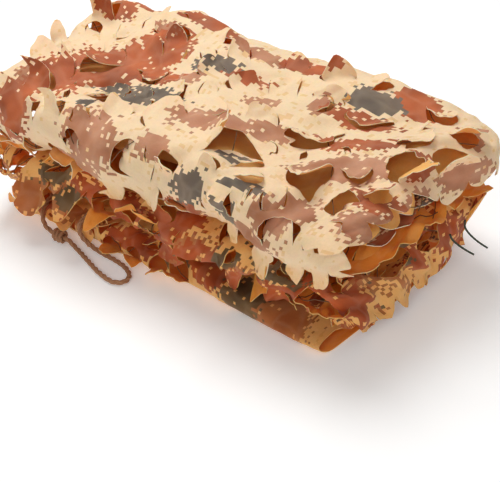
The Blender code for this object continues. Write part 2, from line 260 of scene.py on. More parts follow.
def buildCreaseGroup():
    # fine soft creases that handling leaves in thin cloth
    tree, bench, given, out = newGroup(
        "handlingCreases",
        [("Flat", "Vector", None), ("Size", "Float", 34.0)],
        [("Height", "Float"), ("Rubbed", "Float")],
    )
    warp = bench.add("ShaderNodeTexNoise", Vector=given["Flat"], **groupLooks["warp"])
    wander = groupLooks["wander"]
    moved = bench.vector("MULTIPLY_ADD", warp.outputs[1], (wander, wander, 0.0), given["Flat"])
    ridged = bench.add("ShaderNodeTexVoronoi", {"feature": "DISTANCE_TO_EDGE"}, Vector=moved, Scale=given["Size"])
    soft = {"interpolation_type": "SMOOTHSTEP"}
    limits = {"From Min": 0.0, "From Max": groupLooks["creaseWidth"]}
    edge = bench.add("ShaderNodeMapRange", soft, Value=ridged.outputs[0], **limits).outputs[0]
    rolls = bench.add("ShaderNodeTexNoise", Vector=moved, **groupLooks["rolls"]).outputs[0]
    bench.feed(out["Height"], bench.maths("MULTIPLY_ADD", edge, groupLooks["creaseHeight"], rolls))
    bench.feed(out["Rubbed"], bench.maths("SUBTRACT", 1.0, edge))
    return tree


twistGroup = buildTwistGroup()
weaveGroup = buildWeaveGroup()
creaseGroup = buildCreaseGroup()


# edge rope, its knot and the loose threads, routes in mm
edgeRope = {
    "diameter": 0.006,
    "spacing": 0.0015,
    "strandTurn": 0.026,
    "sides": 24,
    "exit": (-0.1875, -0.080, 0.0361),
    "route": [
        (-187.5, -80, 36.1), (-187, -91, 35.1), (-185.5, -103, 33), (-182.5, -114.5, 26.5), (-174.5, -121.5, 16),
        (-162.5, -122.5, 10.6), (-149.5, -122.5, 10), (-136.5, -122.5, 9.4), (-123.5, -124, 4.5),
        (-109.5, -128, 3.4), (-89.5, -135, 3.4), (-67.5, -142, 3.4), (-45.5, -145, 3.4), (-33.5, -138, 3.4),
        (-35.5, -127, 3.4), (-49.5, -119, 3.4), (-69.5, -115.5, 3.4), (-89.5, -114.5, 3.6), (-107.5, -115, 9),
        (-116.5, -117.5, 21), (-119.5, -114, 32.5), (-119, -103, 37.4), (-118, -91.5, 38.9), (-117.5, -80, 37.9),
    ],
    "yarns": {"Yarns": 12.0, "Slant": 420.0},
    "stain": {"Scale": 60.0, "Detail": 3.0},
    "leastShade": 0.45,
    "bump": {"Strength": 0.7, "Distance": 0.0004},
    "roughness": (-0.15, 0.9),
    # the rope's colours: light on the yarns, dark in painted shade between them and where it is stained
    "lightColour": linearColour(206, 150, 108),
    "darkColour": linearColour(124, 80, 52),
}

ropeKnot = {
    "place": (-149.5, -122.5, 10.0),
    "cordDiameter": 5.2,
    "strandTurn": 0.021,
    "sides": 18,
    "taper": 0.4,
    "radius": 5.9,
    "turns": 3.0,
    "pitch": 5.3,
    "steps": 66,
    "tucked": (0.32, 14.0),  # how far the ends sink, and how quickly
}

tieThreads = {
    "diameter": 0.0022,
    "spacing": 0.0015,
    "uneven": 0.08,
    "unevenStep": 2.1,
    "colour": linearColour(74, 82, 66),
    # how dark the painted shade between the yarns is
    "shade": 0.45,
    "yarns": {"Yarns": 900.0, "Slant": 700.0},
    "bump": {"Strength": 0.5, "Distance": 0.0002},
    "roughness": 0.82,
    "routes": {
        ("tieThread1", "tie_thread_1"): [
            (258.9, 57.0, 59.1), (260.6, 60.3, 50.9), (266.4, 62.8, 44.5), (275.2, 64.6, 39.6), (283.6, 65.6, 36.7),
        ],
        ("tieThread2", "tie_thread_2"): [
            (260.5, 89.5, 56.9), (260.9, 90.9, 46.5), (266.8, 92.5, 37.8), (276.5, 94.2, 30.5), (286.2, 95.6, 25.8),
        ],
    },
}


def smoothCurve(points, steps):
    # a smooth way through the points, with a corner where one stands twice
    points = np.array(points, float)
    ends = np.concatenate([2.0 * points[:1] - points[1:2], points, 2.0 * points[-1:] - points[-2:-1]])
    t = np.linspace(0.0, 1.0, steps, endpoint=False)[:, None]
    way = []
    for before, start, stop, after in zip(ends, ends[1:], ends[2:], ends[3:]):
        if np.allclose(start, stop):
            continue
        before = start if np.allclose(before, start) else before
        after = stop if np.allclose(after, stop) else after
        bend = (stop - before) * t + (2.0 * before - 5.0 * start + 4.0 * stop - after) * t * t
        way.append(0.5 * (2.0 * start + bend + (3.0 * start - before - 3.0 * stop + after) * t ** 3))
    return np.concatenate(way + [points[-1:]])


def evenPoints(way, spacing, least):
    # points at even steps along the way, and how long it is
    lengths = np.concatenate([[0.0], np.cumsum(np.linalg.norm(np.diff(way, axis=0), axis=1))])
    even = np.linspace(0.0, lengths[-1], max(least, round(lengths[-1] / spacing)) + 1)
    return np.stack([np.interp(even, lengths, column) for column in way.T], axis=1), float(lengths[-1])


def cordLine(route, spacing):
    # a cord's points in metres along its route in mm, and its length
    line, length = evenPoints(smoothCurve(np.array(route) * mm, 12), spacing, 2)
    return [Vector(point) for point in line], length


def strandRadius(angle, diameter):
    # outline of three round strands that touch, as a radius for each angle
    strand = 0.5 * diameter * 0.4641
    reach = 0.5 * diameter - strand
    away = (angle + math.pi / 3.0) % (2.0 * math.pi / 3.0) - math.pi / 3.0
    inside = max(strand * strand - (reach * math.sin(away)) ** 2, 0.0)
    return max(reach * math.cos(away) + math.sqrt(inside), 0.27 * diameter)


def twistedCord(name, points, diameter, strandTurn, sides, taper=0.0):
    # a closed tube of three twisted strands along the points, UV is metres along it and share round it
    vertices, faces, coordinates = [], [], []
    tangent = (points[1] - points[0]).normalized()
    side = tangent.orthogonal().normalized()
    travelled = 0.0
    for index, point in enumerate(points):
        ahead = (points[min(index + 1, len(points) - 1)] - points[max(index - 1, 0)]).normalized()
        side = (side - ahead * side.dot(ahead)).normalized()
        other = ahead.cross(side)
        if index:
            travelled += (point - points[index - 1]).length
        nearEnd = min(index, len(points) - 1 - index)
        size = 1.0 - taper * max(0.0, 1.0 - nearEnd / 3.0)
        for step in range(sides):
            angle = 2.0 * math.pi * step / sides
            radius = strandRadius(angle, diameter) * size
            turned = angle + 2.0 * math.pi * travelled / strandTurn
            vertices.append(point + (side * math.cos(turned) + other * math.sin(turned)) * radius)
            coordinates.append(travelled)
    for ring in range(len(points) - 1):
        for step in range(sides):
            after = (step + 1) % sides
            low, high = ring * sides, (ring + 1) * sides
            faces.append((low + step, low + after, high + after, high + step))
    count = len(vertices)
    vertices += [points[0], points[-1]]
    last = (len(points) - 1) * sides
    for step in range(sides):
        after = (step + 1) % sides
        faces.append((count, after, step))
        faces.append((count + 1, last + step, last + after))
    data = bpy.data.meshes.new(name)
    data.from_pydata(vertices, [], faces)
    layer = data.uv_layers.new(name="cordUv")
    for polygon in data.polygons:
        wraps = any(v < count and v % sides == sides - 1 for v in polygon.vertices)
        for loop in polygon.loop_indices:
            vertex = data.loops[loop].vertex_index
            around = (vertex % sides) / sides if vertex < count else 0.5
            if wraps and around < 0.25 and vertex < count:
                around += 1.0
            along = coordinates[vertex] if vertex < count else (0.0 if vertex == count else travelled)
            layer.data[loop].uv = (along, around)
    data.shade_smooth()
    data.validate()
    return data


def ropeMaterial():
    material, bench, shader = newMaterial("twistedRope")
    place = bench.add("ShaderNodeUVMap", {"uv_map": "cordUv"}).outputs[0]
    yarns = bench.group(twistGroup, Coordinates=place, **edgeRope["yarns"])
    stain = bench.add("ShaderNodeTexNoise", Vector=place, **edgeRope["stain"])
    # the dark between the yarns is painted shade; the stain noise darkens the rope in patches as well
    lit = bench.maths("ADD", stain.outputs[0], edgeRope["leastShade"])
    shade = bench.maths("MULTIPLY", yarns.outputs["Shade"], lit)
    colour = bench.mixColour(shade, edgeRope["darkColour"], edgeRope["lightColour"])
    bump = bench.add("ShaderNodeBump", Height=yarns.outputs["Height"], **edgeRope["bump"])
    bench.feed(shader.inputs["Base Color"], colour)
    bench.feed(shader.inputs["Normal"], bump.outputs[0])
    rough = bench.maths("MULTIPLY_ADD", yarns.outputs["Shade"], *edgeRope["roughness"])
    bench.feed(shader.inputs["Roughness"], rough)
    return material


def cordMaterial(name, look):
    # the finish of a thin cord, whose yarns are laid out in its own place
    material, bench, shader = newMaterial(name)
    place = bench.add("ShaderNodeTexCoord").outputs["Object"]
    yarns = bench.group(twistGroup, Coordinates=place, **look["yarns"])
    # the dark between the yarns is painted shade
    dark = darker(look["colour"], look["shade"])
    bench.feed(shader.inputs["Base Color"], bench.mixColour(yarns.outputs["Shade"], dark, look["colour"]))
    if "bump" in look:
        bump = bench.add("ShaderNodeBump", Height=yarns.outputs["Height"], **look["bump"])
        bench.feed(shader.inputs["Normal"], bump.outputs[0])
    shader.inputs["Roughness"].default_value = look["roughness"]
    return material


def knotPoints():
    # the cord's turns round the rope, its ends tucked in
    place = Vector(ropeKnot["place"])
    half = 0.5 * ropeKnot["turns"] * ropeKnot["pitch"]
    depth, rate = ropeKnot["tucked"]
    points = []
    for step in range(ropeKnot["steps"] + 1):
        share = step / ropeKnot["steps"]
        angle = 2.0 * math.pi * ropeKnot["turns"] * share - 0.5 * math.pi
        radius = ropeKnot["radius"] * (1.0 - depth * max(0.0, 1.0 - min(share, 1.0 - share) * rate))
        across = half * (2.0 * share - 1.0)
        points.append(place + Vector((across, radius * math.cos(angle), radius * math.sin(angle))))
    return [point * mm for point in points]


ropeFinish = ropeMaterial()
ropeLine, ropeLength = cordLine(edgeRope["route"], edgeRope["spacing"])
ropeData = twistedCord("edgeRope", ropeLine, edgeRope["diameter"], edgeRope["strandTurn"], edgeRope["sides"])
rope = addPiece("edgeRope", ropeData, "brown_rope", "edge_rope")
knotData = twistedCord(
    "ropeKnot", knotPoints(), ropeKnot["cordDiameter"] * mm, ropeKnot["strandTurn"], ropeKnot["sides"],
    taper=ropeKnot["taper"],
)
knot = addPiece("ropeKnot", knotData, "brown_rope", "rope_knot")
for data in (ropeData, knotData):
    data.materials.append(ropeFinish)
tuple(edgeRope["exit"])
[tuple(point) for point in ropeLine]
print("rope and knot made, length", round(ropeLength, 4))


def addThread(name, node, route, finish):
    line, length = cordLine(route, tieThreads["spacing"])
    curve = newTube(name, 0.5 * tieThreads["diameter"], 3)
    for index, target in enumerate(addLine(curve, line).points):
        target.radius = 1.0 + tieThreads["uneven"] * math.sin(index * tieThreads["unevenStep"])
    curve.materials.append(finish)
    thread = addPiece(name, asMesh(name, curve), "dark_thread", node)
    tuple(line[0])
    [tuple(point) for point in line]


threadFinish = cordMaterial("spunThread", tieThreads)
for (name, node), route in tieThreads["routes"].items():
    addThread(name, node, route, threadFinish)
print("loose threads made")


# how the net's cloth is folded, sizes in mm
foldedNet = {
    "halfWidth": 304.0,
    "thickness": 0.8,
    "sharpFrom": 58,  # degrees between faces whose edge is shown as sharp
    "endStart": 0.74,
    "endDepth": 46.0,
    "cornerDraw": 0.24,
    # each lay: height, start and stop in Y, reach to the left and right, height its ends turn to, and their turns
    "lays": [
        (1.2, 126, -108, 240, 252, 1.2, 0, 0),
        (31, -108, 110, 240, 240, 23, 34, 24),
        (53, 110, -107, 248, 238, 36, 40, 44),
        (94, -107, 108, 262, 268, 30, 70, 86),
        (107, 108, -95, 256, 262, 111, 60, 40),
        (184, -95, 110, 266, 275, 135, 104, 74),
        (158, 110, -76, 244, 254, 126, 50, 50),
        (133, -76, 112, 240, 256, 120, 40, 40),
    ],
    "topHeight": 184.0,
    "rightDrop": (0.11, 30.0, 270.0),
    "rightSlant": (0.21, 20.0, 110.0),
    "lean": (5.0, -5.0),
    "looseFrom": 45.0,
    # the bottom roll's right end is drawn forward and pressed flat
    "flange": (6.0, 0.45),
    "flangeAcross": (20.0, 200.0),
    "flangeFront": (20.0, 110.0),
    "shift": (-13.3, 15.5),
    # which way it moves, how far, length of the wave in X, Y and Z, phase
    "waves": [
        (2, 3.6, 230, 310, 900, 0.4),
        (2, 2.4, 128, -190, 700, 2.1),
        (1, 2.8, 260, 900, 150, 1.2),
        (1, 2.2, 118, 700, -210, 0.2),
        (0, 3.0, 800, 150, 170, 2.6),
        (0, 2.2, 600, -92, 120, 0.9),
    ],
    # both ends in X and Y, width, depth; a negative depth is a ridge
    "creases": [
        (-165, -110, -45, 20, 32, 7),
        (20, -126, 66, -12, 28, 6),
        (-66, 44, 100, 78, 26, -5),
        (120, -66, 186, 66, 32, 6),
        (-236, -44, -165, 88, 28, 5),
        (-206, 112, -124, 116, 48, -13),
    ],
    "creaseFloor": 96.0,
}


def layStarts():
    # how far along the cloth each lay starts, and the whole length at the end
    starts = [0.0]
    lays = foldedNet["lays"]
    for lay, after in zip(lays, lays[1:]):
        starts.append(starts[-1] + abs(lay[2] - lay[1]) + 0.5 * math.pi * abs(after[0] - lay[0]))
    return starts + [starts[-1] + abs(lays[-1][2] - lays[-1][1])]


netStarts = layStarts()
netLength = netStarts[-1]


def sectionAt(travel):
    # y, z and how the ends lie, for each distance along the cloth
    travel = np.asarray(travel, float)
    rows = np.zeros((len(travel), 7))
    lays = foldedNet["lays"]
    for number, lay in enumerate(lays):
        after = lays[min(number + 1, len(lays) - 1)]
        along = travel - netStarts[number]
        length = lay[2] - lay[1]
        radius = 0.5 * abs(after[0] - lay[0])
        here = (along >= 0.0) | (number == 0)
        rows[here, 0] = lay[1] + math.copysign(1.0, length) * along[here]
        rows[here, 1] = lay[0]
        rows[here, 2:] = lay[3:]
        folded = along > abs(length)
        if radius > 0.0:
            angle = np.clip((along[folded] - abs(length)) / radius, 0.0, math.pi)
            share = 0.5 - 0.5 * np.cos(angle)
            rows[folded, 0] = lay[2] + math.copysign(radius, length) * np.sin(angle)
            rows[folded, 1] = lay[0] + (after[0] - lay[0]) * share
            ends = np.array(lay[3:], float)
            rows[folded, 2:] = ends + (np.array(after[3:], float) - ends) * share[:, None]
    return rows


def creaseDepth(x, y):
    total = np.zeros(len(x))
    for x0, y0, x1, y1, width, depth in foldedNet["creases"]:
        runX, runY = x1 - x0, y1 - y0
        share = np.clip(((x - x0) * runX + (y - y0) * runY) / (runX * runX + runY * runY), 0.0, 1.0)
        away = np.hypot(x - x0 - runX * share, y - y0 - runY * share) / width
        total += depth * np.exp(-away * away)
    return total


def settle(x, y, z):
    # from the neatly folded net to where it lies once it has settled
    net = foldedNet
    floor = net["lays"][0][0]
    height = z - floor
    loose = smoothStep(height, 0.0, net["looseFrom"])
    drop, dropFrom, dropTo = net["rightDrop"]
    height = height * (1.0 - drop * smoothStep(x, dropFrom, dropTo))
    height = height - creaseDepth(x, y) * smoothStep(z, net["creaseFloor"], net["topHeight"])
    flange = smoothStep(x, *net["flangeAcross"]) * smoothStep(-y, *net["flangeFront"])
    flange = flange * (1.0 - smoothStep(z, net["lays"][1][0], net["lays"][2][0]))
    reach, press = net["flange"]
    height = height * (1.0 - press * flange)
    slant, slantFrom, slantTo = net["rightSlant"]
    slant = slant * smoothStep(x, dropFrom, dropTo) * np.where(y > 0.0, smoothStep(z, slantFrom, slantTo), 1.0)
    place = np.stack([x + y * slant, y - reach * flange, floor + height], axis=1)
    lean = (z / net["topHeight"])[:, None]
    place[:, :2] += np.array(net["shift"]) + np.array(net["lean"]) * lean
    for axis, amount, lengthX, lengthY, lengthZ, phase in net["waves"]:
        turn = x / lengthX + y / lengthY + z / lengthZ
        place[:, axis] += loose * amount * np.sin(2.0 * math.pi * turn + phase)
    return place


def foldedPlace(across, travel):
    # across is mm from the cloth's middle, travel mm along it from the edge on the surface
    net = foldedNet
    y, z, left, right, endHeight, turnLeft, turnRight = sectionAt(travel).T
    isLeft = across < 0.0
    turn = np.radians(np.where(isLeft, turnLeft, turnRight))
    share = np.abs(across) / net["halfWidth"]
    depth = net["endDepth"]
    x = (np.where(isLeft, left, right) - depth) * np.minimum(share / net["endStart"], 1.0)
    beyond = np.maximum(0.0, (share - net["endStart"]) / (1.0 - net["endStart"]))
    quarter = np.clip(turn, 1e-6, 0.5 * math.pi)
    x = x + np.where(turn > 0.0, depth * np.sin(beyond * turn) / np.sin(quarter), depth * beyond)
    closing = 1.0 - np.cos(beyond * turn)
    z = z + (endHeight - z) * closing
    y = y * (1.0 - net["cornerDraw"] * closing)
    return settle(np.where(isLeft, -x, x), y, z)


# soft wrinkles, laid out in the flat cloth, sizes in mm
softWrinkles = {
    # both ends across and along the cloth, width, height
    "ridges": [
        (-214, 1400, -120, 1508, 9, 3.0), (-150, 1352, -84, 1440, 8, -2.6), (-96, 1500, 12, 1566, 9, 2.6),
        (-60, 1330, -8, 1402, 7, 2.4), (-30, 1420, 44, 1470, 7, -2.0), (10, 1300, 66, 1380, 8, 2.6),
        (56, 1452, 168, 1500, 9, 2.6), (90, 1330, 150, 1372, 7, -2.4), (136, 1300, 206, 1404, 9, 3.0),
        (176, 1540, 250, 1476, 8, 2.6), (214, 1330, 262, 1420, 8, -2.6), (-232, 1520, -160, 1580, 8, -2.2),
        (232, 1420, 296, 1530, 9, 3.0), (-272, 1380, -206, 1330, 9, 2.6), (-20, 1536, 90, 1580, 8, 2.2),
        (-180, 770, -96, 838, 8, 3.0), (-40, 764, 20, 846, 8, -3.2), (40, 790, 132, 838, 7, 3.0),
        (150, 764, 206, 852, 8, 3.4), (236, 776, 290, 860, 9, -3.0), (-270, 800, -206, 860, 9, 3.0),
        (-236, 252, -120, 300, 8, 2.4), (-20, 250, 90, 292, 8, 2.6), (120, 262, 250, 300, 8, 2.4),
    ],
    # amount, length across and along, phase
    "ripples": [
        (0.55, 61, 47, 0.3), (0.50, -43, 68, 1.7), (0.42, 29, -37, 0.9), (0.34, 83, 23, 2.8), (0.26, -19, 27, 4.1),
    ],
    # soft ridges that run across the cloth: amount, length across and along, phase, how far they wander
    "crumples": [
        (1.5, 74, 96, 0.6, 1.3), (1.3, -88, 58, 2.2, 1.1), (1.0, 46, -130, 4.0, 1.5), (0.8, -39, 44, 1.1, 0.9),
    ],
    "ridgeBow": 7.0,
    "ridgeEnds": (0.35, 0.03),  # how high a ridge's ends are, and how much of it they take
    "edgeFrom": 262.0,
    "edgeRipple": 3.2,
    "edgeWaves": (11.0, 37.0),
    # the lower lays are crumpled more, up to the travel given
    "crumpledLays": 2.2,
    "crumpledTravel": (1150.0, 1260.0),
    "flatTravel": (236.0, 262.0),  # the bottom lay lies flat
    # the bottom roll is smooth at its right end: across, travel, share
    "smoothCorner": ((30.0, 130.0), (330.0, 460.0), 0.9),
}


def wrinkleHeight(across, travel):
    total = np.zeros(len(across))
    least, cut = softWrinkles["ridgeEnds"]
    for a0, t0, a1, t1, width, height in softWrinkles["ridges"]:
        runA, runT = a1 - a0, t1 - t0
        share = np.clip(((across - a0) * runA + (travel - t0) * runT) / (runA * runA + runT * runT), 0.0, 1.0)
        bow = softWrinkles["ridgeBow"] * np.sin(math.pi * share)
        lengthwise = math.hypot(runA, runT)
        awayA = across - a0 - runA * share + bow * runT / lengthwise
        awayT = travel - t0 - runT * share - bow * runA / lengthwise
        away = np.hypot(awayA, awayT)
        fade = least + (1.0 - least) * np.sin(math.pi * np.clip(share, cut, 1.0 - cut))
        total += height * fade * np.exp(-((away / width) ** 2))
    ripple = np.zeros(len(across))
    for amount, lengthA, lengthT, phase in softWrinkles["ripples"]:
        ripple += amount * np.sin(2.0 * math.pi * (across / lengthA + travel / lengthT) + phase)
    for amount, lengthA, lengthT, phase, wander in softWrinkles["crumples"]:
        turn = math.pi * (across / lengthA + travel / lengthT) + phase
        turn = turn + wander * np.sin(across / (0.9 * abs(lengthT)) - travel / (0.7 * abs(lengthA)) + 2.0 * phase)
        ripple += amount * ((1.0 - np.abs(np.sin(turn))) ** 2 - 0.3)
    lower = 1.0 - smoothStep(travel, *softWrinkles["crumpledTravel"])
    edge = smoothStep(np.abs(across), softWrinkles["edgeFrom"], foldedNet["halfWidth"])
    short, long = softWrinkles["edgeWaves"]
    wave = np.sin(travel / short + 2.0 * np.sin(travel / long)) * softWrinkles["edgeRipple"]
    flat = smoothStep(travel, *softWrinkles["flatTravel"])
    cornerAcross, cornerTravel, share = softWrinkles["smoothCorner"]
    flat = flat * (1.0 - share * smoothStep(across, *cornerAcross) * (1.0 - smoothStep(travel, *cornerTravel)))
    return flat * (total + ripple * (1.0 + (softWrinkles["crumpledLays"] - 1.0) * lower) + edge * wave)


def clothPlace(across, travel):
    # the cloth's middle surface with its wrinkles, and its outward direction
    across, travel = np.asarray(across, float), np.asarray(travel, float)
    place = foldedPlace(across, travel)
    step = 0.8
    sideways = foldedPlace(across + step, travel) - foldedPlace(across - step, travel)
    onwards = foldedPlace(across, travel + step) - foldedPlace(across, travel - step)
    outward = np.cross(sideways, onwards)
    outward /= np.linalg.norm(outward, axis=1)[:, None]
    return place + outward * wrinkleHeight(across, travel)[:, None], outward


# each leaf is cut on three sides and bends about its root, mm and degrees in the flat cloth
placedLeaves = [
    # root middle across and along, way it points, root width, length, lift, curl, camber, point (0 round, 1 sharp)
    (-131, 1446, -38, 60, 26, -30, -8, 2, 0.1), (-91, 1527, 118, 24, 24, 38, 60, 3, 0.1),
    (-150, 1552, 128, 30, 30, 7, 10, 1, 0.5), (-116, 1487, 121, 44, 38, 9, 6, 3, 0.3),
    (-176, 1462, 145, 34, 34, 12, -24, 2, 0.4), (-206, 1420, 140, 30, 36, 22, 24, 2, 0.7),
    (-252, 1478, 100, 24, 30, 46, -10, 3, 0.9), (-222, 1538, 118, 30, 32, 62, 18, 4, 0.0),
    (-3, 1485, 124, 32, 26, 16, 30, 2, 0.4), (-37, 1443, 12, 34, 18, 9, 12, 1, 0.2),
    (26, 1434, 32, 28, 15, 7, 12, 1, 0.3), (8, 1455, 126, 20, 17, 14, 20, 1, 0.9),
    (10, 1386, 141, 40, 36, 9, 14, 3, 0.2), (54, 1382, 52, 42, 50, 24, 62, 4, 0.5),
    (104, 1417, 62, 20, 14, 8, 10, 1, 0.2), (128, 1476, -48, 48, 32, 17, 14, 4, 0.3),
    (131, 1388, 36, 34, 22, 7, 12, 1, 0.5), (166, 1416, -54, 34, 46, 18, 16, 4, 0.6),
    (204, 1318, 112, 36, 30, -34, -20, 2, 0.2), (233, 1343, -10, 28, 34, 20, -24, 4, 0.0),
    (244, 1380, 174, 28, 28, -52, -24, 2, 0.2), (236, 1414, -4, 20, 27, 32, 14, 3, 0.6),
    (256, 1454, 178, 36, 30, 104, 30, 3, 0.1), (284, 1505, 178, 38, 34, 62, 14, 3, 0.3),
    (214, 1502, -10, 28, 22, 12, -14, 4, 0.1), (228, 1541, 8, 24, 32, 14, -10, 3, 0.1),
    (198, 1574, -60, 26, 28, 14, 20, 4, 0.1), (-181, 790, -90, 40, 46, 18, 8, 3, 0.6),
    (-109, 792, -84, 38, 44, 16, 6, 3, 0.8), (132, 1290, -64, 30, 25, 34, 20, 3, 0.4),
    (178, 1293, -66, 32, 36, 40, 14, 3, 0.2), (226, 1290, -84, 24, 22, 38, 20, 3, 0.8),
    (266, 1292, -72, 30, 24, 26, 10, 3, 0.1), (252, 808, -90, 54, 36, -100, -50, 2, 0.1),
    (244, 882, 2, 44, 34, -70, -40, 2, 0.1), (246, 946, -4, 40, 34, -70, -40, 2, 0.5),
    (106, 1550, 128, 26, 28, 66, -14, 4, 0.7), (132, 1558, 30, 20, 22, 34, -20, 2, 0.6),
    (137, 1536, 128, 18, 15, -16, -10, 1, 0.1), (156, 1522, -64, 32, 22, 16, 20, 2, 0.5),
    (160, 1545, 122, 24, 24, 20, 20, 3, 0.4), (78, 1497, 125, 28, 34, 6, 10, 3, 0.1),
    (112, 1503, 30, 24, 15, 8, 10, 1, 0.2), (-86, 1318, 98, 22, 20, -30, -20, 1, 0.2),
    (0, 1330, 176, 34, 30, -36, -12, 2, 0.1), (-48, 1374, 138, 28, 32, 16, 30, 3, 0.3),
    (38, 1324, 118, 34, 24, 10, 14, 3, 0.4), (92, 1350, 120, 24, 18, 18, 30, 2, 0.6),
    (4, 1520, 122, 24, 32, 14, 20, 2, 0.4), (-160, 1336, 60, 28, 26, 12, 18, 2, 0.4),
    (-206, 1360, 150, 26, 26, 10, 12, 2, 0.3), (58, 1552, 140, 26, 26, 14, 20, 2, 0.5),
    (-40, 1294, -100, 30, 26, 18, 14, 3, 0.5),
]

# narrow cuts that only show as dark slits: across and along
slitCuts = {
    "turn": 12,
    "width": 5.0,
    "length": 15.0,
    "lift": -16.0,
    "places": [
        (-214, 1418), (-18, 1414), (46, 1408), (-96, 1538), (12, 1476), (102, 1304), (18, 1334), (146, 1424),
        (196, 1384), (64, 1522), (-134, 1384), (186, 1446), (150, 1338), (-60, 1500), (-30, 1400), (232, 1404),
    ],
}

# where further leaves are cut: travel from and to, distance from the middle, lift, curl, share bent inwards,
# share that points back along the cloth, which is downwards at the front
leafZones = [
    {"travel": (246, 300), "across": (0, 300), "lift": (8, 34), "curl": (-30, 40), "inward": 0.1, "back": 0.6},
    {"travel": (300, 500), "across": (238, 300), "lift": (-14, 20), "curl": (-30, 30), "inward": 0.2, "back": 0.5},
    {"travel": (500, 534), "across": (0, 300), "lift": (8, 30), "curl": (-20, 30), "inward": 0.3, "back": 0.5},
    {"travel": (534, 736), "across": (238, 300), "lift": (4, 20), "curl": (-30, 30), "inward": 0.3, "back": 0.5},
    {"travel": (740, 826), "across": (0, 300), "lift": (22, 78), "curl": (-70, 80), "inward": 0.12, "back": 0.62,
     "pitch": (31, 26), "twist": 42},
    {"travel": (826, 1030), "across": (226, 300), "lift": (14, 58), "curl": (-50, 80), "inward": 0.2, "back": 0.5,
     "pitch": (29, 26), "twist": 40, "turnScatter": 80},
    {"travel": (1030, 1052), "across": (0, 300), "lift": (6, 20), "curl": (-20, 30), "inward": 0.4, "back": 0.5},
    {"travel": (1052, 1236), "across": (238, 300), "lift": (4, 20), "curl": (-30, 30), "inward": 0.4, "back": 0.5},
    {"travel": (1236, 1312), "across": (0, 300), "lift": (6, 24), "curl": (-60, 10), "inward": 0.2, "back": 0.35},
    {"travel": (1330, 1470), "across": (214, 300), "lift": (14, 46), "curl": (-30, 90), "inward": 0.25, "back": 0.5,
     "pitch": (33, 28), "twist": 34, "turnScatter": 70, "hand": 1},
    {"travel": (1312, 1570), "across": (0, 300), "lift": (8, 26), "curl": (-16, 50), "inward": 0.14, "back": 0.4,
     "pitch": (38, 31)},
    {"travel": (1622, 2010), "across": (238, 300), "lift": (6, 20), "curl": (-30, 40), "inward": 0.4, "back": 0.5},
]

leafCuts = {
    # the cloth's points: how far apart, the rows as a share of it, and the share kept free round each cut
    "spacing": 4.2,
    "rowStep": 0.866,
    "freeCell": 0.62,
    # the random leaves: how far apart, how scattered, and between what limits their sizes and bends lie
    "pitch": (40.0, 34.0),
    "scatter": 7.0,
    "width": (24, 38),
    "length": (22, 36),
    "camber": (0.5, 4.0),
    "point": (0.1, 0.9),
    "twist": 26,
    "placedTwist": 16,
    "way": 118.0,
    "turnScatter": 34.0,
    "inward": (-0.8, -0.6),  # shares of its lift and curl for a leaf that goes in
    "skipShare": 0.04,
    "tries": 3,
    "smaller": 0.16,  # by how much at each further try
    # how far cuts keep from each other and from the hem, how far round a leaf its faces are looked for,
    # and the steps along its trace
    "margin": 4.0,
    "hemClear": 7.0,
    "around": 12.0,
    "traceStep": 5.0,
    # leaves hardly lift under the rope, and there are none on the flange or at the right end's back corner
    "bottomTo": 300,
    "ropeClear": (-215, -15),
    "ropeLift": 0.3,
    "flangeClear": 84.0,
    "cornerClear": (236, 1496),
    # least height of the leaves' points and of the cloth's, and from where the back is drawn in, by what share
    "floorClear": 1.6,
    "clothClear": 1.0,
    "backFrom": 149.0,
    "backShare": 0.45,
    # how uneven a leaf's shape is, and the points that count as round and as sharp
    "loose": 0.05,
    "roundTo": 0.25,
    "sharpFrom": 0.65,
    "seed": 5,
}

# the leaf-shaped tongues along the sides of the cloth
leafHems = {
    "pitch": (30, 44),
    "reach": (12, 27),
    "from": 270.0,
    "plainEnd": 20.0,
    "inset": 4.0,
    "lean": 0.25,
    "swell": 0.7,
    "leftFill": 0.6,
    "endStep": 8.0,
    # how far the top lay is cut back at the right end, and where this starts, is full, fades and stops
    "cutBack": (30.0, 1300.0, 1346.0, 1446.0, 1484.0),
}

# how a leaf bends, along it in leaf lengths
leafBend = {
    "steps": (1.05, 43),
    "lifted": (-0.05, 0.3),
    "curled": (0.15, 1.3),
    "full": 0.6,
    "narrower": 0.93,
    "ruffle": 0.9,
    "ruffleWaves": (0.36, 0.27, 5.0),
}

# how the cloth round a hole draws away and stands or sinks, mm and radians
holeRims = {
    "around": 22.0,
    "fades": 8.0,
    "drawn": (0.5, 1.6),
    "fullyOpen": 0.6,
    "height": (0.4, 1.6),
    "unevenHeight": 3.0,
    "fullyUneven": 0.7,
}

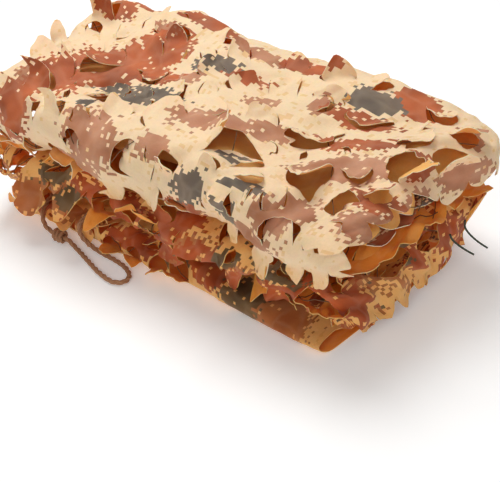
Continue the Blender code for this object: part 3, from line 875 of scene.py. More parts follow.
# the cut of a leaf from one end of its root to the other: along it in leaf lengths, aside in root widths
leafShapes = {
    "tongue": [
        (0, -0.5), (0.3, -0.57), (0.62, -0.54), (0.88, -0.34), (1, 0.02), (0.9, 0.34), (0.6, 0.52),
        (0.28, 0.5), (0, 0.5),
    ],
    "hook": [
        (0, -0.5), (0.3, -0.42), (0.6, -0.46), (0.86, -0.66), (1.06, -0.92), (1.06, -0.92), (1.1, -0.42),
        (0.96, 0.02), (0.74, 0.34), (0.4, 0.54), (0, 0.5),
    ],
    "point": [
        (0, -0.5), (0.22, -0.62), (0.5, -0.56), (0.8, -0.28), (1.14, 0.04), (1.14, 0.04), (0.82, 0.32),
        (0.5, 0.54), (0.22, 0.62), (0, 0.5),
    ],
    "notch": [
        (0, -0.5), (0.4, -0.62), (0.82, -0.58), (1, -0.3), (0.8, -0.02), (0.8, -0.02), (0.98, 0.24),
        (0.88, 0.52), (0.46, 0.62), (0, 0.5),
    ],
    "block": [
        (0, -0.5), (0.5, -0.56), (0.9, -0.62), (0.9, -0.62), (1.02, -0.1), (0.94, 0.44), (0.94, 0.44),
        (0.5, 0.46), (0, 0.5),
    ],
    "fin": [
        (0, -0.5), (0.3, -0.34), (0.7, -0.14), (1.12, 0.24), (1.12, 0.24), (0.86, 0.52), (0.5, 0.66),
        (0.2, 0.62), (0, 0.5),
    ],
    "lobe": [
        (0, -0.5), (0.2, -0.68), (0.42, -0.46), (0.64, -0.64), (0.9, -0.4), (1.06, -0.06), (0.88, 0.36),
        (0.62, 0.34), (0.46, 0.6), (0.2, 0.56), (0, 0.5),
    ],
}
roundShapes = ("tongue", "tongue", "lobe", "block")
sharpShapes = ("point", "fin", "hook", "point")
mixedShapes = ("tongue", "hook", "point", "notch", "block", "fin", "lobe", "hook", "fin")


class Leaf:
    def __init__(self, rng, across, travel, way, width, length, lift, curl, camber, point, twist=0.0):
        self.root = np.array([across, travel], float)
        self.way = math.radians(way)
        self.ahead = np.array([math.cos(self.way), math.sin(self.way)])
        self.side = np.array([-math.sin(self.way), math.cos(self.way)])
        self.width, self.length = width, length
        self.lift, self.curl, self.twist = (math.radians(angle) for angle in (lift, curl, twist))
        self.camber = camber
        sharp = point > leafCuts["sharpFrom"]
        kinds = roundShapes if point < leafCuts["roundTo"] else sharpShapes if sharp else mixedShapes
        self.shape = []
        hand = rng.choice((-1.0, 1.0))
        shape = leafShapes[rng.choice(kinds)]
        for number, (along, aside) in enumerate(shape):
            if number and shape[number - 1] == (along, aside):
                self.shape.append(self.shape[-1])
                continue
            loose = leafCuts["loose"] if 0 < number < len(shape) - 1 else 0.0
            moved = (along + rng.uniform(-1, 1) * loose, hand * aside + rng.uniform(-1, 1) * loose)
            self.shape.append(moved)
        self.trace = np.concatenate([self.outline(leafCuts["traceStep"]), self.root[None]])
        self.middle = 0.5 * (self.trace.min(axis=0) + self.trace.max(axis=0))
        self.reach = np.linalg.norm(self.trace - self.middle, axis=1).max()

    def outline(self, spacing):
        # the cut, from one end of the root round the tip to the other
        way = smoothCurve(self.shape, 8)
        way = self.root + self.ahead * self.length * way[:, :1] + self.side * self.width * way[:, 1:]
        return evenPoints(way, spacing, 8)[0]


def clearOf(leaf, leaves):
    # true if the leaf's cut keeps clear of the ones there are
    for other in leaves:
        if np.linalg.norm(leaf.middle - other.middle) > leaf.reach + other.reach + leafCuts["margin"]:
            continue
        gaps = np.linalg.norm(leaf.trace[:, None, :] - other.trace[None, :, :], axis=2)
        if gaps.min() < leafCuts["margin"] or insidePolygon(leaf.middle[None], other.trace)[0]:
            return False
    return True


def nearThread(leaf):
    # true if a loose thread starts on the leaf
    middle = clothPlace(leaf.middle[:1], leaf.middle[1:])[0][0]
    starts = np.array([route[0] for route in tieThreads["routes"].values()])
    return np.linalg.norm(starts - middle, axis=1).min() < leaf.reach


def statedLeaves(rng):
    # the leaves and slits of the tables
    twist = leafCuts["placedTwist"]
    for row in placedLeaves:
        yield Leaf(rng, *row, twist=rng.uniform(-twist, twist))
    for across, travel in slitCuts["places"]:
        way = leafCuts["way"] + rng.uniform(-slitCuts["turn"], slitCuts["turn"])
        yield Leaf(rng, across, travel, way, slitCuts["width"], slitCuts["length"], slitCuts["lift"], 0.0, 0.0, 1.0)


def randomLeaf(rng, zone, across, travel, attempt):
    # a leaf near a place in the zone, or None where there may be none
    size = 1.0 - leafCuts["smaller"] * attempt
    across = across + rng.uniform(-1, 1) * leafCuts["scatter"]
    travel = travel + rng.uniform(-1, 1) * leafCuts["scatter"]
    width = rng.uniform(*leafCuts["width"]) * size
    length = rng.uniform(*leafCuts["length"]) * size
    way = leafCuts["way"] + rng.uniform(-1, 1) * zone.get("turnScatter", leafCuts["turnScatter"])
    if rng.random() < zone["back"]:
        way += 180.0
    lift, curl = rng.uniform(*zone["lift"]), rng.uniform(*zone["curl"])
    if rng.random() < zone["inward"]:
        lift, curl = leafCuts["inward"][0] * lift, leafCuts["inward"][1] * curl
    bottom = zone["travel"][0] < leafCuts["bottomTo"]
    if bottom and leafCuts["ropeClear"][0] < across < leafCuts["ropeClear"][1]:
        lift, curl = leafCuts["ropeLift"] * lift, leafCuts["ropeLift"] * curl
    ahead = np.array([math.cos(math.radians(way)), math.sin(math.radians(way))])
    place = np.array([across, travel]) - ahead * 0.5 * length
    camber, point = rng.uniform(*leafCuts["camber"]), rng.uniform(*leafCuts["point"])
    twist = zone.get("twist", leafCuts["twist"])
    leaf = Leaf(rng, *place, way, width, length, lift, curl, camber, point, rng.uniform(-twist, twist))
    skipped = rng.random() < leafCuts["skipShare"]
    reach = np.abs(leaf.trace[:, 0]) + edgeBack(leaf.trace[:, 0], leaf.trace[:, 1])
    corner = across > leafCuts["cornerClear"][0] and travel > leafCuts["cornerClear"][1]
    outside = abs(across) < zone["across"][0] or reach.max() > foldedNet["halfWidth"] - leafCuts["hemClear"]
    if skipped or outside or corner or zone.get("hand", 0) * across < 0.0:
        return None
    if bottom and across > leafCuts["flangeClear"] or nearThread(leaf):
        return None
    return leaf


def chooseLeaves():
    rng = random.Random(leafCuts["seed"])
    leaves = []
    for leaf in statedLeaves(rng):
        if clearOf(leaf, leaves):
            leaves.append(leaf)
        else:
            print("left out, too near another leaf:", *leaf.root)
    row = 0
    for zone in leafZones:
        low, high = zone["travel"]
        outer = zone["across"][1]
        pitchAcross, pitchAlong = zone.get("pitch", leafCuts["pitch"])
        count = max(1, round((high - low) / pitchAlong))
        for line in range(count):
            middle = low + (line + 0.5) * (high - low) / count
            row += 1
            start = -outer + (0.5 * pitchAcross if row % 2 else 0.0)
            for across in np.arange(start, outer, pitchAcross):
                for attempt in range(leafCuts["tries"]):
                    leaf = randomLeaf(rng, zone, across, middle, attempt)
                    if leaf and clearOf(leaf, leaves):
                        leaves.append(leaf)
                        break
    return leaves


def edgeBack(across, travel):
    # how far the side with the threads is cut back on the top lay
    amount, start, full, fade, stop = leafHems["cutBack"]
    share = smoothStep(travel, start, full) * (1.0 - smoothStep(travel, fade, stop))
    return amount * share * (np.asarray(across) > 0.0)


def edgeOutline(rng):
    # the cloth's outline: straight ends, and sides that run out in leaf-shaped tongues
    root = foldedNet["halfWidth"] - leafHems["inset"]
    last = netLength - leafHems["plainEnd"]
    outline = []
    for hand in (1.0, -1.0):
        travel = 0.0
        points = []
        while travel < last:
            pitch = rng.uniform(*leafHems["pitch"])
            reach = rng.uniform(*leafHems["reach"]) if leafHems["from"] < travel else 0.0
            if travel + pitch > last:
                pitch = netLength - travel
            steps = max(4, round(pitch / leafCuts["spacing"]))
            lean = rng.uniform(-leafHems["lean"], leafHems["lean"])
            for step in range(steps):
                share = step / steps
                swell = math.sin(math.pi * share) ** leafHems["swell"]
                place = min(travel + pitch * share + lean * pitch * swell, netLength)
                if hand < 0.0 and travel > leafHems["from"]:
                    swell = max(swell, leafHems["leftFill"])
                points.append((hand * (root + reach * swell - float(edgeBack(hand, place))), place))
            travel += pitch
        points.append((hand * root, netLength))
        if hand < 0.0:
            points.reverse()
        outline += points
        count = round(2.0 * foldedNet["halfWidth"] / leafHems["endStep"])
        end = netLength if hand > 0.0 else 0.0
        outline += [(hand * root * (1.0 - 2.0 * step / count), end) for step in range(1, count)]
    return np.array(outline)


# how far apart the cloth's points are, a later row over an earlier one:
# level, least distance from the middle, travel from and to
facetRows = [
    (1, -1, 484, 548), (1, -1, 1012, 1070), (1, -1, 1790, 1860), (1, 236, 244, netLength), (0, 262, 244, netLength),
    (0, 200, 720, 1040), (0, -1, 240, 318), (0, -1, 730, 836), (0, -1, 1226, 1612),
]


def facetLevel(across, travel):
    # 0 where the cloth shows and gets small facets, 1 at the hidden folds, 2 where nothing is seen of it
    levels = np.full(across.shape, 2)
    for level, inner, low, high in facetRows:
        levels[(np.abs(across) > inner) & (travel > low) & (travel < high)] = level
    return levels


def insidePolygon(points, polygon):
    inside = np.zeros(len(points), bool)
    x, y = points[:, 0], points[:, 1]
    for (x0, y0), (x1, y1) in zip(polygon, np.roll(polygon, -1, axis=0)):
        crosses = (y0 > y) != (y1 > y)
        if y0 != y1:
            inside ^= crosses & (x < x0 + (y - y0) * (x1 - x0) / (y1 - y0))
    return inside


def latticePoints(leaves, outline):
    # points spread over the flat cloth, closer where it shows, and clear of every cut
    space = leafCuts["spacing"]
    half = foldedNet["halfWidth"] + leafHems["reach"][1]
    rows = np.arange(space, netLength, space * leafCuts["rowStep"])
    columns = np.arange(-half, half, space)
    across, travel = np.meshgrid(columns, rows)
    rowNumber, columnNumber = np.indices(across.shape)
    across = across + 0.5 * space * (rowNumber % 2)
    level = facetLevel(across, travel)
    keep = level == 0
    for number in (1, 2):
        step = 2 ** number
        even = (rowNumber % (2 * step) == 0) & (columnNumber % step == 0)
        odd = (rowNumber % (2 * step) == step) & (columnNumber % step == step // 2)
        keep |= (level == number) & (even | odd)
    points = np.stack([across[keep], travel[keep]], axis=1)
    cell = leafCuts["freeCell"] * space
    taken = set()
    fixed = np.concatenate([outline] + [leaf.cut for leaf in leaves] + [leaf.rootLine for leaf in leaves])
    for x, y in np.floor(fixed / cell).astype(int):
        taken.update((x + dx, y + dy) for dx in (-1, 0, 1) for dy in (-1, 0, 1))
    cells = np.floor(points / cell).astype(int)
    free = np.array([(x, y) not in taken for x, y in cells])
    return points[free]


def cutFlatCloth(leaves, outline):
    # the flat cloth as triangles, each leaf cut free on three sides
    space = leafCuts["spacing"]
    points = [tuple(place) for place in outline]
    edges = []
    for leaf in leaves:
        leaf.cut = leaf.outline(space)
        steps = max(2, round(leaf.width / space))
        shares = np.linspace(0.0, 1.0, steps + 1)[1:-1, None]
        leaf.rootLine = leaf.cut[0] + (leaf.cut[-1] - leaf.cut[0]) * shares
        leaf.first = len(points)
        ring = np.concatenate([leaf.cut, leaf.rootLine[::-1]])
        points += [tuple(place) for place in ring]
        count = len(ring)
        edges += [(leaf.first + step, leaf.first + (step + 1) % count) for step in range(count)]
    points += [tuple(place) for place in latticePoints(leaves, outline)]
    border = list(range(len(outline)))
    found = geometry.delaunay_2d_cdt([Vector(p) for p in points], edges, [border], 1, 1e-5, True)
    places = np.array([tuple(v) for v in found[0]])
    triangles = np.array([f for f in found[2] if len(f) == 3])
    triangles = triangles[insidePolygon(places[triangles].mean(axis=1), outline)]
    newIndex = {}
    for index, origins in enumerate(found[3]):
        for origin in origins:
            newIndex[origin] = index
    centres = places[triangles].mean(axis=1)
    owner = np.full(len(places), -1)  # the leaf each point belongs to
    extra, extraOwner = [], []
    for number, leaf in enumerate(leaves):
        near = np.abs(centres - leaf.middle).max(axis=1) < leaf.reach + leafCuts["around"]
        picked = np.flatnonzero(near)
        flap = picked[insidePolygon(centres[picked], leaf.cut)]
        rim = [newIndex[leaf.first + step] for step in range(1, len(leaf.cut) - 1)]
        root = {newIndex[leaf.first], newIndex[leaf.first + len(leaf.cut) - 1]}
        root |= {newIndex[leaf.first + step] for step in range(len(leaf.cut), len(leaf.cut) + len(leaf.rootLine))}
        doubles = {old: len(places) + len(extra) + step for step, old in enumerate(rim)}
        extra += rim
        extraOwner += [number] * len(rim)
        for triangle in flap:
            for corner in range(3):
                old = triangles[triangle, corner]
                if old in doubles:
                    triangles[triangle, corner] = doubles[old]
                elif old not in root and old < len(owner):
                    owner[old] = number
    places = np.concatenate([places, places[extra]])
    owner = np.concatenate([owner, extraOwner])
    used = np.unique(triangles)
    renumber = np.full(len(places), -1)
    renumber[used] = np.arange(len(used))
    return places[used], owner[used].astype(int), renumber[triangles]


def leafPlaces(leaf, flat):
    # where a leaf's points lie once it has bent about its root
    away = flat - leaf.root
    ahead = np.maximum(away @ leaf.ahead, 0.0)
    aside = away @ leaf.side
    rootFlat = leaf.root + aside[:, None] * leaf.side
    base, _ = clothPlace(rootFlat[:, 0], rootFlat[:, 1])
    probe = np.array([leaf.root, leaf.root + leaf.ahead, leaf.root + leaf.side])
    spots, outward = clothPlace(probe[:, 0], probe[:, 1])
    out = outward[0]
    forward = spots[1] - spots[0]
    forward = forward - out * (forward @ out)
    forward /= np.linalg.norm(forward)
    sideways = np.cross(out, forward)
    sideways *= math.copysign(1.0, sideways @ (spots[2] - spots[0]))
    steps = np.linspace(0.0, *leafBend["steps"])
    curlFrom, curlPower = leafBend["curled"]
    angle = leaf.lift * smoothStep(steps, *leafBend["lifted"])
    angle += leaf.curl * np.maximum(steps - curlFrom, 0.0) ** curlPower
    size = leaf.length * (steps[1] - steps[0])
    run = np.concatenate([[0.0], np.cumsum(np.cos(angle[:-1]) * size)])
    rise = np.concatenate([[0.0], np.cumsum(np.sin(angle[:-1]) * size)])
    share = ahead / leaf.length
    runs, rises = np.interp(share, steps, run), np.interp(share, steps, rise)
    tilt = np.interp(share, steps, angle)
    ramp = smoothStep(share, 0.0, leafBend["full"])
    cross = -forward * np.sin(tilt)[:, None] + out * np.cos(tilt)[:, None]
    half = 0.5 * leaf.width
    lifted = leaf.camber * (aside / half) ** 2 * ramp + aside * np.sin(leaf.twist * ramp)
    narrowed = aside * (leafBend["narrower"] - 1.0) * ramp
    waves = np.stack([aside, ahead, np.full(len(flat), leaf.way)], axis=1) @ leafBend["ruffleWaves"]
    ruffle = leafBend["ruffle"] * np.sin(waves) * ramp
    place = base + forward * runs[:, None] + out * rises[:, None] + sideways * narrowed[:, None]
    place += cross * (lifted + ruffle)[:, None]
    return place


def openHoles(leaves, flat, owner):
    # the cloth round a hole draws away from the leaf and sinks or stands a little
    moved = flat.copy()
    height = np.zeros(len(flat))
    least, more = holeRims["drawn"]
    for leaf in leaves:
        near = np.abs(flat - leaf.middle).max(axis=1) < leaf.reach + holeRims["around"]
        picked = np.flatnonzero(near & (owner == -1))
        if not len(picked):
            continue
        away = flat[picked] - leaf.middle
        gaps = np.linalg.norm(flat[picked][:, None, :] - leaf.cut[None, ::2, :], axis=2).min(axis=1)
        ahead = (flat[picked] - leaf.root) @ leaf.ahead
        hold = smoothStep(ahead, 0.0, 0.5 * leaf.length)
        near = np.exp(-((gaps / holeRims["fades"]) ** 2)) * hold
        openness = min(abs(leaf.lift) / holeRims["fullyOpen"], 1.0)
        outwards = away / (np.linalg.norm(away, axis=1)[:, None] + 1e-6)
        moved[picked] += outwards * (near * (least + more * openness))[:, None]
        height[picked] += near * leaf.rim
    return moved, height


# mm of flat cloth that the UV square spans, where it starts, and the sheet's own size in metres, across and along
flatSheet = {
    "uvSize": 2100.0,
    "uvStart": (foldedNet["halfWidth"] + 30.0, 10.0),
    "cut": (0.608, 2.033),
}


def buildNet():
    rng = random.Random(leafCuts["seed"] + 1)
    leaves = chooseLeaves()
    outline = edgeOutline(rng)
    flat, owner, triangles = cutFlatCloth(leaves, outline)
    print("cloth cut:", len(leaves), "leaves,", len(flat), "points,", len(triangles), "triangles")
    for leaf in leaves:
        leaf.rim = -math.copysign(1.0, leaf.lift) * rng.uniform(*holeRims["height"])
        uneven = min(abs(leaf.lift) / holeRims["fullyUneven"], 1.0)
        leaf.rim += rng.uniform(-1.0, 1.0) * holeRims["unevenHeight"] * uneven
    moved, height = openHoles(leaves, flat, owner)
    place, outward = clothPlace(moved[:, 0], moved[:, 1])
    place += outward * height[:, None]
    for number, leaf in enumerate(leaves):
        picked = np.flatnonzero(owner == number)
        if len(picked):
            place[picked] = leafPlaces(leaf, flat[picked])
    place[:, 2] = np.maximum(place[:, 2], np.where(owner >= 0, leafCuts["floorClear"], leafCuts["clothClear"]))
    beyond = np.maximum(place[:, 1] - leafCuts["backFrom"], 0.0)
    place[:, 1] -= beyond * (1.0 - leafCuts["backShare"])
    data = bpy.data.meshes.new("camouflageCloth")
    data.from_pydata((place * mm).tolist(), [], triangles.tolist())
    layer = data.uv_layers.new(name="flatCloth")
    corners = np.empty(len(data.loops), int)
    data.loops.foreach_get("vertex_index", corners)
    scaled = (flat + flatSheet["uvStart"]) / flatSheet["uvSize"]
    layer.data.foreach_set("uv", scaled[corners].astype(np.float32).ravel())
    data.update()
    return data


def thicken(name, data, finishes):
    # a thin closed sheet: printed outside, plain inside, bright along its cut edges
    cloth = addObject(name, data)
    for finish in finishes:
        data.materials.append(finish)
    layers = cloth.modifiers.new("thickness", "SOLIDIFY")
    layers.thickness = foldedNet["thickness"] * mm
    layers.offset = 0.0
    layers.material_offset = 1
    layers.material_offset_rim = 2
    bpy.context.view_layer.update()
    solid = bpy.data.meshes.new_from_object(cloth.evaluated_get(bpy.context.evaluated_depsgraph_get()))
    bpy.data.objects.remove(cloth)
    solid.shade_smooth()
    solid.set_sharp_from_angle(angle=math.radians(foldedNet["sharpFrom"]))
    return solid


# the print, laid out in the flat cloth: squares in three colours on sand
squarePrint = {
    "square": 0.0037,
    "sand": linearColour(249, 210, 170),
    "sandShade": linearColour(240, 196, 144),
    "rust": linearColour(194, 104, 60),
    "rustShade": linearColour(160, 82, 46),
    "brown": linearColour(198, 141, 108),
    "brownShade": linearColour(170, 112, 78),
    "grey": linearColour(128, 110, 93),
    "greyShade": linearColour(100, 88, 76),
    "back": linearColour(255, 188, 104),
    "edge": linearColour(255, 236, 200),
    # painted shade: the lower lays under the top pad are multiplied by this warm darker tint, fully below the first
    # travel and fading out by the second
    "shaded": linearColour(252, 218, 158),
    "paintedShadeTravel": (1232.0, 1300.0),
    # the grey and rust patches at the right end of a lower lay, travel 884 to 966, and the grey one at the bottom
    # roll's corner, travel 270, are print and partly painted shade in the cavity under the top pad and in that
    # corner
    # middle across and along, half sizes, turn in degrees
    "patches": {
        "brown": [
            (-66, 1338, 40, 34, -12), (40, 1412, 48, 19, 24), (15, 1350, 22, 16, 10), (92, 1438, 28, 14, 20),
            (-36, 1468, 22, 12, 10), (198, 1424, 50, 22, 26), (186, 1346, 34, 22, 34),
            (272, 1364, 34, 24, 10), (286, 1432, 18, 26, 0), (162, 1304, 40, 13, 8), (66, 1478, 22, 10, 20),
            (116, 1500, 12, 14, 0), (290, 1514, 18, 38, 0), (250, 1544, 18, 12, 20), (-206, 1384, 18, 14, 0),
            (-110, 1540, 26, 10, 0), (10, 1546, 36, 12, 10), (-90, 1296, 40, 13, 6), (-128, 276, 36, 16, 6),
            (206, 268, 54, 40, 0), (-176, 770, 40, 18, 0), (236, 770, 44, 18, 20), (150, 770, 36, 16, 10),
        ],
        "rust": [
            (-192, 1344, 29, 48, -6), (-174, 1404, 36, 32, 10), (-146, 1454, 46, 38, 34),
            (-104, 1508, 44, 36, 24), (-80, 1464, 42, 17, -8), (18, 1500, 42, 9, 12), (66, 1560, 32, 14, 14),
            (178, 1560, 24, 24, 30), (156, 1506, 34, 13, 10), (178, 1466, 40, 13, 20),
            (250, 1464, 20, 22, 0), (262, 1400, 36, 16, 10), (64, 1290, 27, 20, 10),
            (-222, 1562, 26, 20, 10), (-84, 1574, 44, 12, 6), (-196, 1590, 24, 12, 0), (268, 908, 24, 14, 0),
            (268, 966, 28, 22, 0), (-60, 790, 58, 26, 10), (30, 802, 40, 20, 20), (60, 772, 30, 14, 30),
            (262, 806, 40, 30, 20), (-196, 268, 30, 18, 0), (-44, 272, 42, 18, 4), (84, 276, 34, 18, 0),
        ],
        "grey": [
            (-68, 1421, 50, 19, 6), (-20, 1500, 30, 14, 10), (74, 1324, 26, 20, 20), (146, 1538, 25, 18, 20),
            (136, 1350, 26, 7, 14), (98, 1382, 18, 8, 10), (128, 1310, 17, 18, 0), (-100, 1376, 11, 9, 0),
            (-148, 798, 30, 18, 20), (-110, 772, 22, 14, 0), (190, 794, 34, 14, 10), (118, 780, 20, 16, 0),
            (250, 884, 26, 26, 0), (246, 934, 22, 18, 0), (-262, 1452, 16, 12, 0), (30, 268, 22, 12, 0),
            (146, 270, 34, 34, 0),
        ],
    },
    "ragged": {"Scale": 78.0, "Detail": 2.0, "Roughness": 0.75},
    "depth": {"Scale": 26.0, "Detail": 1.0, "Roughness": 0.5},
    "cloudy": {"Detail": 1.5, "Roughness": 0.45},
    # edges of patches and clouds: how steep, and the most that counts
    "patchEdge": (2.1, 0.86),
    "cloudEdge": (10.0, 0.86),
    # what loosens the squares at the edges: rough share, speck share, power and share of the strays
    "loose": (1.9, 0.34, 9.0, 0.75),
    "inkFrom": 0.05,
    "shadeFrom": 0.60,
    "deeper": (3.2, -1.1),
    # each colour's broad clouds beyond the table: scale, level, offset
    "clouds": {"brown": (9.0, 0.555, 4.1), "rust": (8.0, 0.565, 11.7), "grey": (10.0, 0.63, 27.3)},
    "tabled": (1262.0, 1592.0),
    "bottomTabled": 306.0,
}


def buildPatchGroup():
    # how far inside one patch of the print a place is: 1 at its middle, 0 at its edge
    tree, bench, given, out = newGroup(
        "printPatch",
        [("Place", "Vector", None), ("Middle", "Vector", None), ("Size", "Vector", None), ("Turn", "Float", 0.0)],
        [("Inside", "Float")],
    )
    away = bench.vector("SUBTRACT", given["Place"], given["Middle"])
    turned = bench.add("ShaderNodeVectorRotate", {"rotation_type": "Z_AXIS"}, Vector=away, Angle=given["Turn"])
    sized = bench.vector("DIVIDE", turned.outputs[0], given["Size"])
    length = bench.vector("LENGTH", sized, output=1)
    steep, most = squarePrint["patchEdge"]
    inside = bench.maths("MULTIPLY", bench.maths("SUBTRACT", 1.0, length), steep)
    bench.feed(out["Inside"], bench.maths("MINIMUM", inside, most))
    return tree


def buildPrintGroup():
    # the print's colour at a place in the flat cloth, in metres
    tree, bench, given, out = newGroup(
        "desertSquares",
        [("Flat", "Vector", None), ("Square", "Float", squarePrint["square"])],
        [("Colour", "Color")],
    )
    size = bench.add("ShaderNodeCombineXYZ", X=given["Square"], Y=given["Square"], Z=1.0).outputs[0]
    snapped = bench.vector("SNAP", given["Flat"], size)
    ragged = bench.add("ShaderNodeTexNoise", Vector=snapped, **squarePrint["ragged"]).outputs[0]
    depth = bench.add("ShaderNodeTexNoise", Vector=given["Flat"], **squarePrint["depth"]).outputs[0]
    depth = bench.maths("MULTIPLY_ADD", depth, *squarePrint["deeper"])
    deeper = bench.maths("MINIMUM", bench.maths("MAXIMUM", depth, 0.0), 1.0)
    grain = bench.add("ShaderNodeTexWhiteNoise", {"noise_dimensions": "2D"}, Vector=snapped).outputs
    along = bench.add("ShaderNodeSeparateXYZ", Vector=snapped).outputs[1]
    tabled = [bench.maths("GREATER_THAN", along, limit * mm) for limit in squarePrint["tabled"]]
    placed = bench.maths("SUBTRACT", *tabled)
    bottom = bench.maths("LESS_THAN", along, squarePrint["bottomTabled"] * mm)
    placed = bench.maths("ADD", placed, bottom)
    patchGroup = buildPatchGroup()
    roughShare, speckShare, strayPower, strayShare = squarePrint["loose"]
    rough = bench.maths("MULTIPLY", bench.maths("SUBTRACT", ragged, 0.5), roughShare)
    grained = bench.maths("MULTIPLY_ADD", grain[0], 2.0, -1.0)
    strays = bench.maths("MULTIPLY", bench.maths("POWER", grained, strayPower), strayShare)
    loose = bench.maths("ADD", rough, bench.maths("MULTIPLY_ADD", grained, speckShare, strays))
    shade = bench.maths("GREATER_THAN", ragged, squarePrint["shadeFrom"])
    colour = bench.mixColour(shade, squarePrint["sand"], squarePrint["sandShade"])
    steep, most = squarePrint["cloudEdge"]
    for name, (scale, level, offset) in squarePrint["clouds"].items():
        moved = bench.vector("ADD", snapped, (offset, 0.7 * offset, 0.0))
        cloud = bench.add("ShaderNodeTexNoise", Vector=moved, Scale=scale, **squarePrint["cloudy"]).outputs[0]
        cloud = bench.maths("MULTIPLY", bench.maths("SUBTRACT", cloud, level), steep)
        cloud = bench.maths("MINIMUM", cloud, most)
        field = bench.maths("SUBTRACT", cloud, bench.maths("MULTIPLY", placed, 3.0))
        for across, travel, halfAcross, halfAlong, turn in squarePrint["patches"][name]:
            middle = (across * mm, travel * mm, 0.0)
            half = (halfAcross * mm, halfAlong * mm, 1.0)
            patch = bench.group(patchGroup, Place=snapped, Middle=middle, Size=half, Turn=math.radians(-turn))
            field = bench.maths("MAXIMUM", field, patch.outputs[0])
        mask = bench.maths("GREATER_THAN", bench.maths("ADD", field, loose), squarePrint["inkFrom"])
        printed = bench.mixColour(deeper, squarePrint[name], squarePrint[name + "Shade"])
        colour = bench.mixColour(mask, colour, printed)
    bench.feed(out["Colour"], colour)
    return tree


printGroup = buildPrintGroup()


# the cloth's finish; light comes through the thin cloth and colours the shade behind it
thinCloth = {
    "yarn": 0.0007,
    "crease": 34.0,
    "stain": {"Scale": 30.0, "Detail": 3.0},
    "stainShade": 0.8,
    "worn": 0.05,
    "mottled": (0.16, 0.90),
    "roughness": (0.2, 0.52),
    "weaveBump": {"Strength": 0.25, "Distance": 0.0002},
    "creaseBump": {"Strength": 0.35, "Distance": 0.0016},
    "inputs": {
        "Sheen Weight": 0.05,
        "Sheen Roughness": 0.5,
        "Specular IOR Level": 0.25,
        "Subsurface Weight": 0.6,
        "Subsurface Radius": (1.0, 0.6, 0.25),
        "Subsurface Scale": 0.0022,
    },
}


def clothMaterial(name, kind):
    # kind is printed for the outside, plain for the inside and edge for the cut
    material, bench, shader = newMaterial(name)
    uv = bench.add("ShaderNodeUVMap", {"uv_map": "flatCloth"}).outputs[0]
    scale = flatSheet["uvSize"] * mm
    offset = (-flatSheet["uvStart"][0] * mm, -flatSheet["uvStart"][1] * mm, 0.0)
    flat = bench.vector("MULTIPLY_ADD", uv, (scale, scale, 0.0), offset)
    weave = bench.group(weaveGroup, Flat=flat, Yarn=thinCloth["yarn"])
    crease = bench.group(creaseGroup, Flat=flat, Size=thinCloth["crease"])
    along = bench.add("ShaderNodeSeparateXYZ", Vector=flat).outputs[1]
    # lower is the mask of the painted shade on the lower lays
    low, high = squarePrint["paintedShadeTravel"]
    lower = bench.add("ShaderNodeMapRange", Value=along, **{"From Min": high * mm, "From Max": low * mm}).outputs[0]
    if kind == "printed":
        colour = bench.group(printGroup, Flat=flat, Square=squarePrint["square"]).outputs["Colour"]
    else:
        stain = bench.add("ShaderNodeTexNoise", Vector=flat, **thinCloth["stain"]).outputs[0]
        base = squarePrint["back" if kind == "plain" else "edge"]
        colour = bench.mixColour(stain, darker(base, thinCloth["stainShade"]), base)
    # painted shade: all the cloth below the top pad, printed, plain and cut edge alike, is darkened and warmed
    colour = bench.mixColour(lower, colour, squarePrint["shaded"], "MULTIPLY")
    worn = bench.maths("MULTIPLY", crease.outputs["Rubbed"], thinCloth["worn"])
    colour = bench.mixColour(worn, colour, squarePrint["edge"])
    mottled = bench.maths("MULTIPLY_ADD", weave.outputs["Cover"], *thinCloth["mottled"])
    shaded = bench.add("ShaderNodeCombineColor", Red=mottled, Green=mottled, Blue=mottled).outputs[0]
    colour = bench.mixColour(1.0, colour, shaded, "MULTIPLY")
    fine = bench.add("ShaderNodeBump", Height=weave.outputs["Height"], **thinCloth["weaveBump"])
    folds = bench.add("ShaderNodeBump", Height=crease.outputs["Height"], **thinCloth["creaseBump"])
    bench.feed(folds.inputs["Normal"], fine.outputs[0])
    bench.feed(shader.inputs["Base Color"], colour)
    bench.feed(shader.inputs["Normal"], folds.outputs[0])
    rough = bench.maths("MULTIPLY_ADD", weave.outputs["Cover"], *thinCloth["roughness"])
    bench.feed(shader.inputs["Roughness"], rough)
    for name, value in thinCloth["inputs"].items():
        shader.inputs[name].default_value = value
    return material


netData = buildNet()
clothFinishes = [clothMaterial(name, kind) for name, kind in
                 (("printedCloth", "printed"), ("clothBack", "plain"), ("cutEdge", "edge"))]
netCloth = addPiece("netCloth", thicken("netSheet", netData, clothFinishes), "printed_cloth", "net_cloth")
print("cloth folded,", sum(len(face.vertices) - 2 for face in netCloth.data.polygons), "triangles")


# the strings that run behind the cloth and show in its holes, sizes in mm
backingStrings = {
    "diameter": 1.0,
    "pitch": 92.0,
    "angle": 52.0,
    "behind": 2.6,
    "step": 8.0,
    "from": 246.0,
    "to": 1610.0,
    "halfAcross": 296.0,
    "fewest": 6,
    "colour": linearColour(120, 82, 50),
    # how dark the painted shade between the yarns is
    "shade": 0.5,
    "yarns": {"Yarns": 1400.0, "Slant": 1100.0},
    "roughness": 0.8,
}


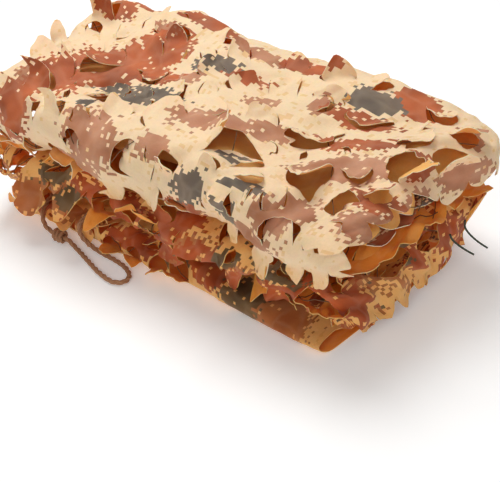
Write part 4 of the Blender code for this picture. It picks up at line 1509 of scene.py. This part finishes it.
def buildStrings():
    curve = newTube("backingStrings", 0.5 * backingStrings["diameter"] * mm, 1)
    angle = math.radians(backingStrings["angle"])
    slope = math.tan(angle)
    low, high, half = (backingStrings[key] for key in ("from", "to", "halfAcross"))
    for hand in (1.0, -1.0):
        start = low - 2.0 * half * slope
        while start < high:
            across = np.arange(-half, half, backingStrings["step"] * math.cos(angle))
            travel = start + (across * hand + half) * slope
            keep = (travel > low) & (travel < high)
            start += backingStrings["pitch"] / math.cos(angle)
            if keep.sum() < backingStrings["fewest"]:
                continue
            place, outward = clothPlace(across[keep], travel[keep])
            addLine(curve, (place - outward * backingStrings["behind"]) * mm)
    return curve


stringCurve = buildStrings()
stringCurve.materials.append(cordMaterial("backingString", backingStrings))
strings = addPiece("backingStrings", asMesh("backingStrings", stringCurve), "brown_rope")
print("strings made")


# plain floor and soft light
studio = {
    "floorSize": 12.0,
    "floorBelow": 0.0002,
    "floorRoughness": 0.9,
    "floorColour": linearColour(252, 252, 251),
    "floorGlow": 0.16,
    "lights": [
        # place, size, watts
        ((-0.38, 0.3, 1.5), 0.9, 15.8),
        ((0.5, -1.3, 1.0), 1.0, 5.0),
    ],
    "aim": (0.0, 0.0, 0.08),
    "sky": 0.36,
}


def buildStudio():
    bpy.ops.mesh.primitive_plane_add(size=studio["floorSize"], location=(0.0, 0.0, -studio["floorBelow"]))
    floor = bpy.context.object
    floor.name = "floor"
    material, bench, shader = newMaterial("paleFloor")
    shader.inputs["Base Color"].default_value = studio["floorColour"]
    shader.inputs["Roughness"].default_value = studio["floorRoughness"]
    shader.inputs["Emission Color"].default_value = (1.0, 1.0, 1.0, 1.0)
    shader.inputs["Emission Strength"].default_value = studio["floorGlow"]
    floor.data.materials.append(material)
    for number, (place, size, watts) in enumerate(studio["lights"]):
        data = bpy.data.lights.new("softLight" + str(number), "AREA")
        data.shape = "DISK"
        data.size = size
        data.energy = watts
        light = addObject(data.name, data)
        light.location = place
        light.rotation_euler = (Vector(studio["aim"]) - Vector(place)).to_track_quat("-Z", "Y").to_euler()
    world = bpy.data.worlds.new("studio")
    world.use_nodes = True
    background = world.node_tree.nodes["Background"]
    background.inputs[0].default_value = (1.0, 1.0, 1.0, 1.0)
    background.inputs[1].default_value = studio["sky"]
    bpy.context.scene.world = world
    bpy.context.scene.view_settings.view_transform = "Standard"


buildStudio()
print("studio set")
